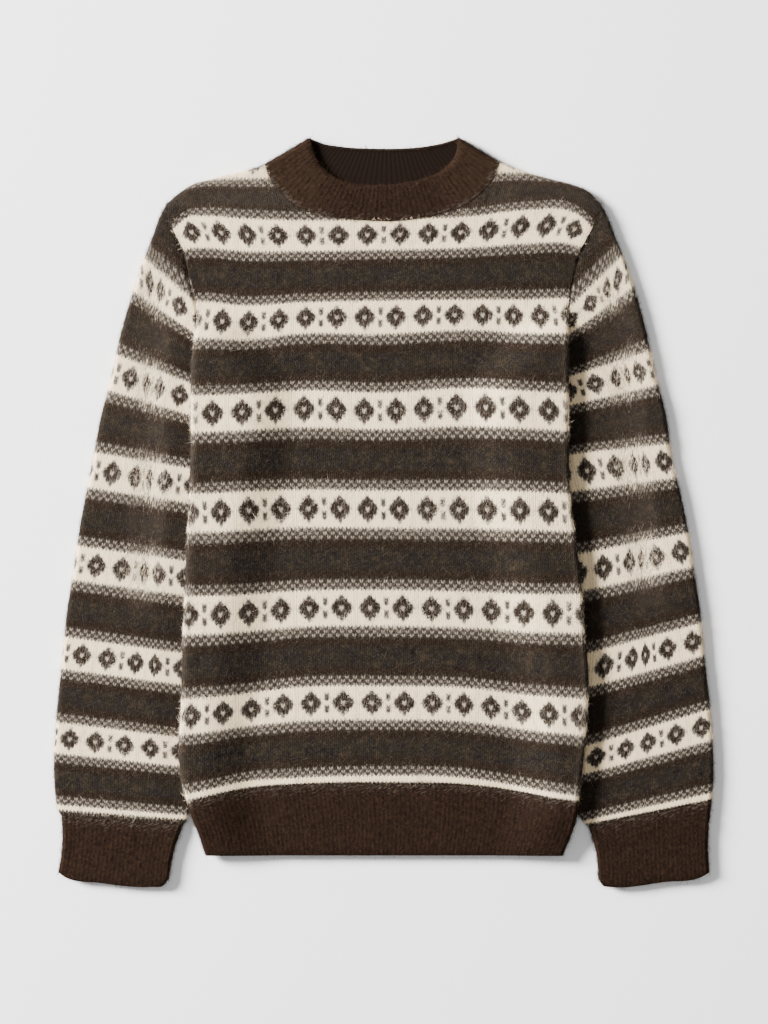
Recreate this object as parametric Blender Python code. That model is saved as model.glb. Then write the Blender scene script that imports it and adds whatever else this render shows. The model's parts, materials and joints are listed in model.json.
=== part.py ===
"""A crew-neck sweater of brushed wool, knitted in patterned bands, lying flat on its back.

The tables and sizes are in millimetres and the meshes in metres. Looking down on the sweater,
X runs to the right and Y towards the neck, and Z is up from the surface it lies on. The origin
is on that surface, in the middle of the whole. Right and left in the names are the wearer's,
so the right sleeve lies at -X.

Every piece is a knitted wall. Cut open across, a flat-lying piece is a slot with round ends: its
upper layer turns down at the side folds to meet the lower layer at half the flat thickness.
"""

from collections import namedtuple
from math import cos, exp, pi, radians, sin

import bmesh
import bpy
from mathutils import Vector

for thing in list(bpy.data.objects):
    bpy.data.objects.remove(thing, do_unlink=True)

METRES = 0.001
UPRIGHT = pi / 2

# The cloth
WALL = 3.2  # two-colour knit with its floats, brushed
FOLD = 4.4  # outer radius of a side fold, half of the flat thickness
RIB_WALL = 3.6
NECK_FOLD = 4.8
SEAM = 0.3  # between two pieces that are sewn together
SEAM_SLOPE = radians(50)  # where a sewn edge stops on its way down to the seam
RIB_RAISED = 0.9  # a knit rib above the purl column beside it

# The body's front and back lie over the inner edges of the sleeves, so their sides are raised.
SIDE_RAISED = 9.7  # a sleeve's flat thickness and a little air
HEM_CORNER_RAISED = 3.5
UNDERARM_FLAT = 210  # height on Y above which the body lies level with the sleeve
UNDERARM_RAISED = 170  # height on Y below which it lies on top of it
HEM_LETS_DOWN = -296
SLOPE_DOWN = 58  # width over which the raised side comes down to the surface

HEM_RIBS = 88
CUFF_RIBS = 28
NECK_RIBS_FRONT = 52
NECK_RIBS_BACK = 44

Side = namedtuple("Side", "height left right")
Point = namedtuple("Point", "x y")
Shelf = namedtuple("Shelf", "height width")
Section = namedtuple("Section", "outer_x outer_y inner_x inner_y")

# Width of the raised stretch along each side: a little more than the sleeve below it
SHELF = (
    Shelf(-290, 16),
    Shelf(110, 52),
    Shelf(130, 48),
    Shelf(147, 36),
    Shelf(160, 23),
    Shelf(170, 15),
    Shelf(190, 7),
)

# Side folds of the hem rib, from its lower edge up to its seam
HEM_SIDES = (
    Side(-343, 176.0, 179.0),
    Side(-336, 180.5, 181.5),
    Side(-322, 187.0, 187.0),
    Side(-306, 192.0, 192.0),
    Side(-290, 195.0, 194.5),
)

# Side folds of the front and back up to the underarm, and from there on the armhole seams
BODY_SIDES = (
    Side(-290, 195.0, 194.5),
    Side(-279, 199.0, 195.5),
    Side(-267, 201.5, 197.0),
    Side(-237, 204.0, 200.0),
    Side(-203, 202.0, 203.0),
    Side(-165, 201.0, 204.0),
    Side(-120, 200.0, 200.5),
    Side(-75, 197.5, 197.5),
    Side(-27, 196.0, 191.0),
    Side(25, 193.5, 185.5),
    Side(72, 192.0, 184.5),
    Side(112, 192.0, 184.5),
    Side(147, 191.5, 184.5),
    Side(167, 190.0, 184.5),
    Side(180, 188.0, 184.5),
    Side(192, 187.0, 184.7),
    Side(208, 187.0, 185.0),
    Side(222, 190.0, 186.0),
    Side(236, 193.5, 188.0),
    Side(247, 195.5, 190.5),
    Side(257, 198.0, 194.0),
    Side(270, 204.0, 201.0),
    Side(282, 210.0, 207.5),
    Side(295, 213.5, 212.5),
    Side(308.5, 216.5, 216.5),
)
UNDERARM = 192

# Seam between the body and its hem rib: lower at the sides than in the middle
HEM_SEAM = (
    Point(-195.0, -290.0),
    Point(-178.5, -287.0),
    Point(-143.5, -278.5),
    Point(-113.5, -275.0),
    Point(-83.5, -273.0),
    Point(0.0, -272.0),
    Point(86.5, -274.0),
    Point(116.5, -277.0),
    Point(146.5, -282.0),
    Point(186.5, -289.0),
    Point(194.5, -290.0),
)

RIGHT_SHOULDER = (
    Point(-216.5, 308.5),
    Point(-206.5, 317.0),
    Point(-190.5, 327.5),
    Point(-173.0, 332.5),
    Point(-155.0, 337.0),
    Point(-138.0, 341.0),
)
FRONT_NECKLINE = (
    Point(-118.7, 347.4),
    Point(-114.0, 334.5),
    Point(-105.5, 324.0),
    Point(-93.0, 310.5),
    Point(-79.0, 302.0),
    Point(-60.0, 296.0),
    Point(-36.0, 292.5),
    Point(-12.0, 290.7),
    Point(12.0, 290.4),
    Point(42.0, 294.3),
    Point(66.0, 300.5),
    Point(84.0, 308.5),
    Point(96.0, 317.5),
    Point(105.8, 328.2),
    Point(112.2, 337.8),
    Point(115.4, 349.7),
)
BACK_NECKLINE = (
    Point(-118.7, 347.4),
    Point(-108.0, 337.0),
    Point(-90.0, 330.0),
    Point(-60.0, 326.5),
    Point(-20.0, 325.0),
    Point(20.0, 325.0),
    Point(60.0, 327.0),
    Point(90.0, 332.0),
    Point(106.0, 340.0),
    Point(115.4, 349.7),
)
LEFT_SHOULDER = (
    Point(134.5, 342.6),
    Point(154.0, 336.3),
    Point(172.5, 331.5),
    Point(188.7, 327.4),
    Point(204.6, 320.3),
    Point(216.5, 308.5),
)

# Upper edge of the neckband. Its two halves meet at the folds, the tips of both lines.
NECK_EDGE_FRONT = (
    Point(-73.6, 374.1),
    Point(-70.9, 363.3),
    Point(-64.5, 348.4),
    Point(-54.0, 337.8),
    Point(-40.0, 331.0),
    Point(-25.0, 327.5),
    Point(0.0, 326.5),
    Point(20.0, 328.5),
    Point(40.0, 333.0),
    Point(59.5, 342.0),
    Point(71.5, 356.3),
    Point(74.7, 374.1),
)
NECK_EDGE_BACK = (
    Point(-73.6, 374.1),
    Point(-61.3, 368.9),
    Point(-42.2, 365.7),
    Point(-10.3, 363.8),
    Point(16.5, 363.8),
    Point(40.4, 365.7),
    Point(58.0, 368.9),
    Point(74.7, 374.1),
)

# Sleeves from the cuff's seam up: the outer fold, and the inner fold that the body hides.
# X is the distance from the middle of the sweater. The last section is the armhole seam's ends.
RIGHT_SLEEVE = (
    Section(322.0, -303.0, 200.5, -312.5),
    Section(326.0, -296.0, 196.0, -306.0),
    Section(328.0, -283.0, 194.0, -294.0),
    Section(329.5, -256.0, 192.0, -271.0),
    Section(328.0, -223.0, 189.0, -240.0),
    Section(325.5, -188.0, 185.5, -206.0),
    Section(320.5, -143.0, 182.0, -162.0),
    Section(316.5, -100.0, 178.5, -120.0),
    Section(309.5, -58.0, 173.5, -78.0),
    Section(303.5, -15.0, 168.5, -35.0),
    Section(297.0, 19.0, 163.5, -1.0),
    Section(289.5, 57.0, 156.5, 36.0),
    Section(282.5, 95.0, 150.5, 72.0),
    Section(272.5, 132.0, 147.5, 104.0),
    Section(266.5, 162.0, 153.5, 130.0),
    Section(259.5, 190.0, 166.0, 147.0),
    Section(250.5, 219.0, 178.0, 160.0),
    Section(241.5, 247.0, 183.5, 170.0),
    Section(232.0, 272.0, 186.4, 178.0),
    Section(223.5, 295.0, 187.5, 185.5),
    Section(216.5, 308.5, 187.0, 192.0),
)
LEFT_SLEEVE = (
    Section(328.0, -288.5, 205.5, -314.0),
    Section(328.8, -281.0, 198.5, -307.5),
    Section(329.5, -268.0, 192.0, -296.0),
    Section(329.5, -246.0, 188.5, -274.0),
    Section(328.5, -223.0, 186.0, -244.0),
    Section(325.5, -188.0, 183.0, -208.0),
    Section(321.0, -148.0, 180.0, -164.0),
    Section(317.0, -105.0, 177.0, -122.0),
    Section(311.0, -63.0, 172.5, -80.0),
    Section(304.5, -21.0, 167.5, -37.0),
    Section(297.5, 15.0, 162.5, -1.0),
    Section(288.5, 52.0, 156.5, 36.0),
    Section(282.0, 97.0, 150.0, 72.0),
    Section(273.0, 132.0, 145.5, 104.0),
    Section(266.5, 162.0, 151.5, 130.0),
    Section(259.5, 192.0, 162.0, 147.0),
    Section(252.0, 219.0, 173.0, 160.0),
    Section(242.5, 247.0, 178.0, 170.0),
    Section(232.5, 272.0, 182.6, 178.0),
    Section(223.5, 295.0, 184.6, 185.5),
    Section(216.5, 308.5, 184.7, 192.0),
)

# Soft crease down the middle of each sleeve, as distance from the middle of the sweater
CREASE = (
    Side(-110, 246.0, 267.0),
    Side(-61, 240.5, 261.5),
    Side(32, 234.5, 250.5),
    Side(125, 233.5, 241.5),
    Side(227, 228.5, 228.5),
)
CREASE_DEEP = 1.6
CREASE_WIDE = 14

# Lower edges of the cuffs, from the outer fold to the inner one
RIGHT_CUFF_EDGE = (
    Point(325.0, -360.0),
    Point(317.5, -365.0),
    Point(283.5, -370.5),
    Point(231.5, -374.5),
    Point(220.5, -373.5),
    Point(215.0, -367.0),
)
LEFT_CUFF_EDGE = (
    Point(325.5, -360.0),
    Point(316.5, -365.0),
    Point(281.5, -369.5),
    Point(226.5, -374.5),
    Point(219.5, -373.5),
    Point(215.0, -367.0),
)
CUFF_WAIST = 2.5  # how far a cuff's sides draw in half way down


def mix(low, high, share):
    return low + (high - low) * share


def ease(share):
    share = min(max(share, 0.0), 1.0)
    return share * share * (3 - 2 * share)


def read(table, key, value, at):
    """One column of a table, read between its rows by another column, which rises."""
    for low, high in zip(table, table[1:]):
        if at <= getattr(high, key):
            break
    share = (at - getattr(low, key)) / (getattr(high, key) - getattr(low, key))
    return mix(getattr(low, value), getattr(high, value), min(max(share, 0.0), 1.0))


def shares(points):
    """How far along a line each of its points is, from 0 to 1."""
    run = [0.0]
    for start, end in zip(points, points[1:]):
        run.append(run[-1] + (end - start).length)
    return [length / run[-1] for length in run]


def along(points, share):
    """The point that lies this share of the way along a line."""
    marks = shares(points)
    for start, end, low, high in zip(points, points[1:], marks, marks[1:]):
        if share <= high:
            break
    return start.lerp(end, (share - low) / (high - low))


def seam_line(points, gap):
    """A line's points moved to its left by a gap, which leaves room for the piece beside it."""
    points = [Vector(point) for point in points]
    moved = []
    for index, point in enumerate(points):
        before = points[max(index - 1, 0)]
        after = points[min(index + 1, len(points) - 1)]
        run = (after - before).normalized()
        moved.append(point + gap * Vector((-run.y, run.x)))
    return moved


# A wall's points lie on lines that run across the piece and up it. A line near an edge is given by
# how far it is round that edge's turn, from 0 at the edge to 1 where the layer is level.
Line = namedtuple("Line", "edge turn share raised")


def edge_lines(edge, turns):
    return [Line(edge, turn, None, 0) for turn in turns]


def level_lines(places):
    return [Line(None, 1, place, 0) for place in places]


def placed(line, span, low, high, fold, reach, inset):
    """A line's place across a span, as a share of it, and its angle round the edge it is near."""
    if line.edge == "low":
        angle = mix(low, UPRIGHT, line.turn)
        return (fold * cos(low) - reach * cos(angle)) / span, angle
    if line.edge == "high":
        angle = mix(high, UPRIGHT, line.turn)
        return 1 - (fold * cos(high) - reach * cos(angle)) / span, angle
    if inset:
        return mix(fold * cos(low) / span, 1 - fold * cos(high) / span, line.share), UPRIGHT
    return line.share, UPRIGHT


def layer(plan, across, up, sides, ends, fold, depth, height, facing=1):
    """One face of a layer as rows of points.

    plan gives the outline's X and Y from two shares. sides and ends give the angles at which the
    layer stops at its low and high edges. depth is how far the face lies inside the outer one,
    height gives the half-thickness's place on Z, and facing is 1 for the upper layer and -1 for
    the lower.
    """
    rows = []
    for up_line in up:
        row = []
        for line in across:
            reach = fold - depth + line.raised * RIB_RAISED * (-1 if depth else 1)
            guess = {"low": 0.0, "high": 1.0}.get(line.edge, line.share)
            u, v = guess, {"low": 0.0, "high": 1.0}.get(up_line.edge, up_line.share)
            for _ in range(2):
                low, high = sides(v)
                width = (plan(1, v) - plan(0, v)).length
                u, turn_across = placed(line, width, low, high, fold, reach, True)
                low, high = ends(u)
                length = (plan(u, 1) - plan(u, 0)).length
                v, turn_up = placed(up_line, length, low, high, fold, fold - depth, False)
            flat = plan(u, v)
            rise = facing * reach * sin(turn_across) * sin(turn_up)
            row.append(Vector((flat.x, flat.y, height(flat.x, flat.y) + rise)))
        rows.append(row)
    return rows


def wall(name, material, outer, inner, outer_at, inner_at, ring):
    """A closed wall between an outer and an inner face.

    outer_at and inner_at number the points of a row round the piece, so that a ribbed face may
    have more of them than the plain face behind it. They share the points at which both have one.
    """
    shape = bmesh.new()
    faces = []
    for rows in (outer, inner):
        faces.append([[shape.verts.new(point * METRES) for point in row] for row in rows])
    for rows in faces:
        for lower, upper in zip(rows, rows[1:]):
            pairs = list(zip(range(len(lower)), range(1, len(lower))))
            if ring:
                pairs.append((len(lower) - 1, 0))
            for here, following in pairs:
                shape.faces.new((lower[here], lower[following], upper[following], upper[here]))
    shared = sorted(set(outer_at) & set(inner_at))
    for row in (0, -1):
        spans = list(zip(shared, shared[1:]))
        if ring:
            spans.append((shared[-1], shared[0]))
        for start, end in spans:
            chains = []
            for numbers, rows in ((outer_at, faces[0]), (inner_at, faces[1])):
                first, last = numbers.index(start), numbers.index(end)
                if last <= first:
                    chains.append(rows[row][first:] + rows[row][: last + 1])
                else:
                    chains.append(rows[row][first : last + 1])
            shape.faces.new(chains[0] + chains[1][::-1])
    if not ring:
        for column in (0, -1):
            for level in range(len(outer) - 1):
                edge = [faces[0][level][column], faces[0][level + 1][column]]
                edge += [faces[1][level + 1][column], faces[1][level][column]]
                shape.faces.new(edge)
    bmesh.ops.recalc_face_normals(shape, faces=shape.faces)
    mesh = bpy.data.meshes.new(name)
    shape.to_mesh(mesh)
    shape.free()
    mesh.materials.append(material)
    mesh.shade_smooth()
    mesh.set_sharp_from_angle(angle=radians(50))
    piece = bpy.data.objects.new(name, mesh)
    piece.parent = sweater
    bpy.context.scene.collection.objects.link(piece)


def wool(name, colour, roughness):
    """Brushed wool yarn: rough, with no shine of its own."""
    material = bpy.data.materials.new(name)
    material.use_nodes = True
    shader = material.node_tree.nodes["Principled BSDF"]
    shader.inputs["Base Color"].default_value = (*colour, 1.0)
    shader.inputs["Roughness"].default_value = roughness
    shader.inputs["Metallic"].default_value = 0.0
    return material


def side_raised(x, y):
    """How far the body lies above the surface: its sides rest on the sleeves."""
    table = HEM_SIDES if y < HEM_SIDES[-1].height else BODY_SIDES
    inside = read(table, "height", "left" if x < 0 else "right", y) - abs(x)
    shelf = read(SHELF, "height", "width", y)
    raised = SIDE_RAISED * ease((UNDERARM_FLAT - y) / (UNDERARM_FLAT - UNDERARM_RAISED))
    if y < HEM_LETS_DOWN:
        let_down = ease((HEM_LETS_DOWN - y) / (HEM_LETS_DOWN - HEM_SIDES[0].height))
        raised = mix(SIDE_RAISED, HEM_CORNER_RAISED, let_down)
    return raised * (1 - ease((inside - shelf) / SLOPE_DOWN))


def lower_middle(x, y):
    """Half way between the layers, seen from the lower one."""
    return FOLD + side_raised(x, y)


def upper_middle(x, y):
    """The same for the upper one, which the side seams hold a gap away."""
    return FOLD + SEAM + side_raised(x, y)


def folded(share):
    return 0.0, 0.0


def sewn(share):
    return SEAM_SLOPE, SEAM_SLOPE


def body_sides(v):
    """The sides are folds below the underarm and sewn to the sleeves above it."""
    height = mix(BODY_SIDES[0].height, BODY_SIDES[-1].height, v)
    angle = SEAM_SLOPE * ease((height - UNDERARM_RAISED) / (UNDERARM_FLAT - UNDERARM_RAISED))
    return angle, angle


def body_plan(top):
    """The outline of the front or back, from the seam of its hem rib to its upper edge."""

    def plan(u, v):
        height = mix(BODY_SIDES[0].height, BODY_SIDES[-1].height, v)
        left = -read(BODY_SIDES, "height", "left", height) + SEAM / 2
        right = read(BODY_SIDES, "height", "right", height) - SEAM / 2
        low_x = mix(-BODY_SIDES[0].left, BODY_SIDES[0].right, u)
        low_y = read(HEM_SEAM, "x", "y", low_x) + SEAM / 2
        top_x = mix(top[0].x, top[-1].x, u)
        return Vector((mix(left, right, u), mix(low_y, read(top, "x", "y", top_x), v)))

    return plan


def top_edge(neckline):
    """Shoulders and neckline in one line, clear of the neckband."""
    corner = BODY_SIDES[-1].left - SEAM / 2
    line = [Vector(point) for point in RIGHT_SHOULDER]
    line += seam_line(neckline, -SEAM / 2)
    line += [Vector(point) for point in LEFT_SHOULDER]
    line[0].x = -corner
    line[-1].x = corner
    return line


def top_ends(top):
    """The upper edge is a fold at the shoulders and sewn to the neckband between them."""
    neck_low, neck_high = len(RIGHT_SHOULDER), len(top) - len(LEFT_SHOULDER) - 1

    def ends(u):
        x = mix(top[0].x, top[-1].x, u)
        inside = top[neck_low].x + SEAM < x < top[neck_high].x - SEAM
        return SEAM_SLOPE, SEAM_SLOPE if inside else 0.0

    return ends


def columns_under(top):
    """Lines up the body that end at the points of its upper edge."""
    width = top[-1].x - top[0].x
    inset = FOLD * cos(SEAM_SLOPE) / width
    places = [(point.x - top[0].x) / width for point in top[1:-1]]
    lines = edge_lines("low", (0, 0.4, 0.7, 1))
    lines += level_lines([(place - inset) / (1 - 2 * inset) for place in places])
    return lines + edge_lines("high", (1, 0.7, 0.4, 0))


def body_rows():
    low, high = BODY_SIDES[0].height, BODY_SIDES[-1].height
    lines = edge_lines("low", (0, 1))
    lines += level_lines([(side.height - low) / (high - low) for side in BODY_SIDES[2:-1]])
    return lines + edge_lines("high", (1, 0.6, 0.3, 0))


def panel(name, material, neckline, middle, facing):
    """The front or back."""
    top = top_edge(neckline)
    plan = body_plan(top)
    lines, rows = columns_under(top), body_rows()
    turns = (plan, lines, rows, body_sides, top_ends(top), FOLD)
    outer = layer(*turns, 0, middle, facing)
    inner = layer(*turns, WALL, middle, facing)
    numbers = list(range(len(lines)))
    wall(name, material, outer, inner, numbers, numbers, False)
    return [Vector(point[:2]) for point in outer[0]]


def rib_lines(ribs, width, fold):
    """Two lines to a rib, one in the furrow and one on the ridge, round both side folds."""
    turn = fold * UPRIGHT
    girth = width - 2 * fold + 2 * turn
    lines = []
    for number in range(2 * ribs + 1):
        run = girth * number / (2 * ribs)
        raised = number % 2
        if run <= turn:
            lines.append(Line("low", run / turn, None, raised))
        elif run >= girth - turn:
            lines.append(Line("high", (girth - run) / turn, None, raised))
        else:
            lines.append(Line(None, 1, (run - turn) / (girth - 2 * turn), raised))
    return lines


def plain_numbers(ribs):
    """Which of the rib lines the plain inner face also has: both folds and every fourth rib."""
    return [0, *range(4, 2 * ribs - 3, 8), 2 * ribs]


def hem_rib(name, material, seam, middle, facing, lines, inner_at):
    """The rib below the front or back. seam is the lower edge of the panel it is sewn to."""
    low, high = HEM_SIDES[0].height, HEM_SIDES[-1].height

    def plan(u, v):
        height = mix(low, high, v)
        left = -read(HEM_SIDES, "height", "left", height)
        right = read(HEM_SIDES, "height", "right", height)
        seam_y = read(seam, "x", "y", mix(seam[0].x, seam[-1].x, u)) - SEAM
        return Vector((mix(left, right, u), mix(low, seam_y, v)))

    rows = edge_lines("low", (0, 1)) + level_lines([0.5]) + edge_lines("high", (1, 0))
    numbers = list(range(len(lines)))
    outer = layer(plan, lines, rows, folded, sewn, FOLD, 0, middle, facing)
    plain = [lines[number]._replace(raised=0) for number in inner_at]
    inner = layer(plan, plain, rows, folded, sewn, FOLD, WALL, middle, facing)
    wall(name, material, outer, inner, numbers, inner_at, False)


def tube(name, material, upper, lower, numbers):
    """A wall round a flat-lying tube, from its upper layer's faces and its lower layer's."""
    faces = []
    for top_rows, bottom_rows in zip(upper, lower):
        faces.append([top + bottom[-2:0:-1] for top, bottom in zip(top_rows, bottom_rows)])
    wall(name, material, *faces, *numbers, True)


def level(x, y):
    return FOLD


def sleeve(name, material, side, sections, column):
    """A sleeve from its cuff's seam to the armhole. side is -1 for the wearer's right."""
    armhole = []
    for row in reversed(BODY_SIDES):
        if row.height >= UNDERARM:
            armhole.append(Vector((side * (getattr(row, column) + SEAM / 2), row.height)))
    outer_edge = [Vector((side * row.outer_x, row.outer_y)) for row in sections]
    inner_edge = [Vector((side * row.inner_x, row.inner_y)) for row in sections]
    outer_edge[-1], inner_edge[-1] = armhole[0], armhole[-1]
    steps = len(sections) - 1

    def plan(u, v):
        step = min(int(v * steps), steps - 1)
        outer = outer_edge[step].lerp(outer_edge[step + 1], v * steps - step)
        inner = inner_edge[step].lerp(inner_edge[step + 1], v * steps - step)
        seam_bow = along(armhole, u) - armhole[0].lerp(armhole[-1], u)
        return outer.lerp(inner, u) + seam_bow * ease(4 * v - 3)

    def creased(x, y):
        """The upper layer sinks along the soft crease."""
        off = (abs(x) - read(CREASE, "height", column, y)) / CREASE_WIDE
        fade = ease((y - CREASE[0].height) / 50) * ease((250 - y) / 40)
        return FOLD - CREASE_DEEP * exp(-off * off) * fade

    width = sum((b - a).length for a, b in zip(armhole, armhole[1:]))
    inset = FOLD / width
    places = [(share - inset) / (1 - 2 * inset) for share in shares(armhole)[1:-1]]
    lines = edge_lines("low", (0, 0.5, 1)) + level_lines(places) + edge_lines("high", (1, 0.5, 0))
    rows = edge_lines("low", (0, 1)) + level_lines([n / steps for n in range(1, steps)])
    rows += edge_lines("high", (1, 0))
    upper = [layer(plan, lines, rows, folded, sewn, FOLD, depth, creased) for depth in (0, WALL)]
    lower = [layer(plan, lines, rows, folded, sewn, FOLD, depth, level, -1) for depth in (0, WALL)]
    numbers = list(range(2 * len(lines) - 2))
    tube(name, material, upper, lower, (numbers, numbers))
    return outer_edge[0], inner_edge[0]


def cuff(name, material, side, seam_ends, edge):
    """The rib tube at a wrist. seam_ends are the ends of the sleeve's lower edge."""
    gap = Vector((0, -SEAM))
    seam_outer, seam_inner = (end + gap for end in seam_ends)
    lower_edge = [Vector((side * point.x, point.y)) for point in edge]

    def plan(u, v):
        waist = CUFF_WAIST * sin(pi * v) * (1 - 2 * u) * -side
        flat = along(lower_edge, u).lerp(seam_outer.lerp(seam_inner, u), v)
        return flat + Vector((waist, 0))

    width = (plan(1, 0.5) - plan(0, 0.5)).length
    ribbed = rib_lines(CUFF_RIBS, width, FOLD)
    plain = edge_lines("low", (0, 0.5, 1)) + level_lines((0.25, 0.5, 0.75))
    plain += edge_lines("high", (1, 0.5, 0))
    rows = edge_lines("low", (0, 1)) + level_lines([0.5]) + edge_lines("high", (1, 0))
    few = plain_numbers(CUFF_RIBS)
    upper = [layer(plan, ribbed, rows, folded, sewn, FOLD, 0, level)]
    behind = [ribbed[number]._replace(raised=0) for number in few]
    upper.append(layer(plan, behind, rows, folded, sewn, FOLD, WALL, level))
    lower = [layer(plan, plain, rows, folded, sewn, FOLD, depth, level, -1) for depth in (0, WALL)]
    under = list(range(len(ribbed), len(ribbed) + len(plain) - 2))
    tube(name, material, upper, lower, (list(range(len(ribbed))) + under, few + under))


def neckband(name, material):
    """The rib ring. Its front half lies on its back half, whose inner face shows in the neck."""
    # Sewn on the sides of the necklines where the panels aren't
    seams = [seam_line(FRONT_NECKLINE, SEAM / 2), seam_line(BACK_NECKLINE, SEAM)]
    seams[1][0], seams[1][-1] = seams[0][0], seams[0][-1]
    edges = [[Vector(p) for p in NECK_EDGE_FRONT], [Vector(p) for p in NECK_EDGE_BACK]]

    def plan_of(seam, edge):
        return lambda u, v: along(seam, u).lerp(along(edge, u), v)

    def middle(x, y):
        return NECK_FOLD

    plans = [plan_of(seam, edge) for seam, edge in zip(seams, edges)]
    rows = edge_lines("low", (0, 1)) + edge_lines("high", (1, 0))
    halves, numbers = [], []
    for plan, ribs in zip(plans, (NECK_RIBS_FRONT, NECK_RIBS_BACK)):
        width = sum((plan(n / 20, 0.5) - plan((n + 1) / 20, 0.5)).length for n in range(20))
        ribbed = rib_lines(ribs, width, NECK_FOLD)
        few = [0, *range(4, 2 * ribs - 3, 4), 2 * ribs]
        plain = [ribbed[number]._replace(raised=0) for number in few]
        halves.append((ribbed, plain))
        numbers.append(few)
    # The front's outer face is ribbed, and the back's inner one, the two that face up
    turns = (rows, folded, sewn, NECK_FOLD)
    ribbed, plain = halves[0]
    front_outer = layer(plans[0], ribbed, *turns, 0, middle)
    front_inner = layer(plans[0], plain, *turns, RIB_WALL, middle)
    ribbed, plain = halves[1]
    level_ribs = [line if line.edge is None else line._replace(raised=0) for line in ribbed]
    back_outer = layer(plans[1], plain, *turns, 0, middle, -1)
    back_inner = layer(plans[1], level_ribs, *turns, RIB_WALL, middle, -1)
    last = 2 * (NECK_RIBS_FRONT + NECK_RIBS_BACK)
    outer_at = list(range(2 * NECK_RIBS_FRONT + 1)) + [last - n for n in numbers[1][-2:0:-1]]
    inner_at = numbers[0] + list(range(2 * NECK_RIBS_FRONT + 1, last))
    tube(name, material, (front_outer, front_inner), (back_outer, back_inner), (outer_at, inner_at))


sweater = bpy.data.objects.new("sweater", None)
bpy.context.scene.collection.objects.link(sweater)

BROWN = (0.042, 0.022, 0.014)
BANDS = (0.17, 0.14, 0.115)  # the mean of cream and charcoal bands

front_seam = panel("front", wool("banded wool front", BANDS, 0.95), FRONT_NECKLINE, upper_middle, 1)
back_seam = panel("back", wool("banded wool back", BANDS, 0.95), BACK_NECKLINE, lower_middle, -1)

hem_width = HEM_SIDES[2].left + HEM_SIDES[2].right
hem_lines = rib_lines(HEM_RIBS, hem_width, FOLD)
hem_brown = wool("brown rib hem front", BROWN, 0.95)
hem_few = plain_numbers(HEM_RIBS)
hem_rib("hem_rib_front", hem_brown, front_seam, upper_middle, 1, hem_lines, hem_few)
hem_brown = wool("brown rib hem back", BROWN, 0.95)
hem_lines = columns_under(top_edge(BACK_NECKLINE))
hem_few = list(range(len(hem_lines)))
hem_rib("hem_rib_back", hem_brown, back_seam, lower_middle, -1, hem_lines, hem_few)

for wearers, side, sections, column, edge in (
    ("right", -1, RIGHT_SLEEVE, "left", RIGHT_CUFF_EDGE),
    ("left", 1, LEFT_SLEEVE, "right", LEFT_CUFF_EDGE),
):
    banded = wool(f"banded wool {wearers} sleeve", BANDS, 0.95)
    cuff_seam = sleeve(f"sleeve_{wearers}", banded, side, sections, column)
    brown = wool(f"brown rib {wearers} cuff", BROWN, 0.95)
    cuff(f"cuff_{wearers}", brown, side, cuff_seam, edge)

neckband("neckband", wool("brown rib neckband", BROWN, 0.95))
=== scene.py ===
"""A crew-neck sweater of brushed wool, knitted in patterned bands and lying flat on its back.

Tables are in millimetres and meshes in metres. Looking down on the sweater, X runs to the right
and Y towards the neck, and Z is up from the surface it lies on. Right and left in the names are
the wearer's, so the right sleeve lies at -X.
"""

import json
from math import pi, radians

import bmesh
import bpy
import numpy as np
from mathutils import Matrix, Vector

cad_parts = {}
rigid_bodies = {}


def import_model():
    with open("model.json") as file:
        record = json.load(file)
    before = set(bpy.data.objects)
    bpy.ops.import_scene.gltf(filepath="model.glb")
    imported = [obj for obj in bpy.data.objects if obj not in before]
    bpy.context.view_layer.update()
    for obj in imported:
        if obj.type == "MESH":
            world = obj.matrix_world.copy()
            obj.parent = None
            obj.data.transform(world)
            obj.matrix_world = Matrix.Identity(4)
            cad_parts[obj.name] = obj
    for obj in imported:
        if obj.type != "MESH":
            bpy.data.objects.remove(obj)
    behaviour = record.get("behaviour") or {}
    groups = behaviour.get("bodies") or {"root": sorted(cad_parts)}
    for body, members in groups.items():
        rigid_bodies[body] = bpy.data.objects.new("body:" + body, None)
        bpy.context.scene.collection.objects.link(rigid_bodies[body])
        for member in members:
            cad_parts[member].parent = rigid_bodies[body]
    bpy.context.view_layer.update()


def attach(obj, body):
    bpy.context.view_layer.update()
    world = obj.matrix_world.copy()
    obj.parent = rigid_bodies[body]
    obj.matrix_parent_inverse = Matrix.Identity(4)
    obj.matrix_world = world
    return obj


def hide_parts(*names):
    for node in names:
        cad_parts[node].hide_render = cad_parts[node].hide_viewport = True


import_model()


# The front panel. It is knitted from the hem up in cream, brown and charcoal wool, with the wool
# that isn't in use carried behind, and then brushed. It is sewn to the back at the sides, to the
# sleeves at the armholes, and folded over the shoulders.

METRES = 0.001
WALL = 3.2
FOLD = 4.4  # outer radius of a side fold, half of the flat thickness
SEAM = 0.15
SEAM_SLOPE = radians(68)  # where a sewn edge stops on its way down to the seam
EDGE_SLOPE = radians(45)  # and where a free edge does
SIDE_RAISED, LEFT_SIDE_RAISED = 9.7, 11.7  # the body's sides lie on the sleeves
HEM_CORNER_RAISED = 3.5
HEM_LETS_DOWN = -296
SLOPE_DOWN = 58
UNDERARM_FLAT, UNDERARM_RAISED = 210, 170

# Heights on Y, with the width of the stretch that a sleeve holds up
SHELF = ((-290, 16), (110, 52), (130, 48), (147, 36), (160, 23), (170, 15), (190, 7))

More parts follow.
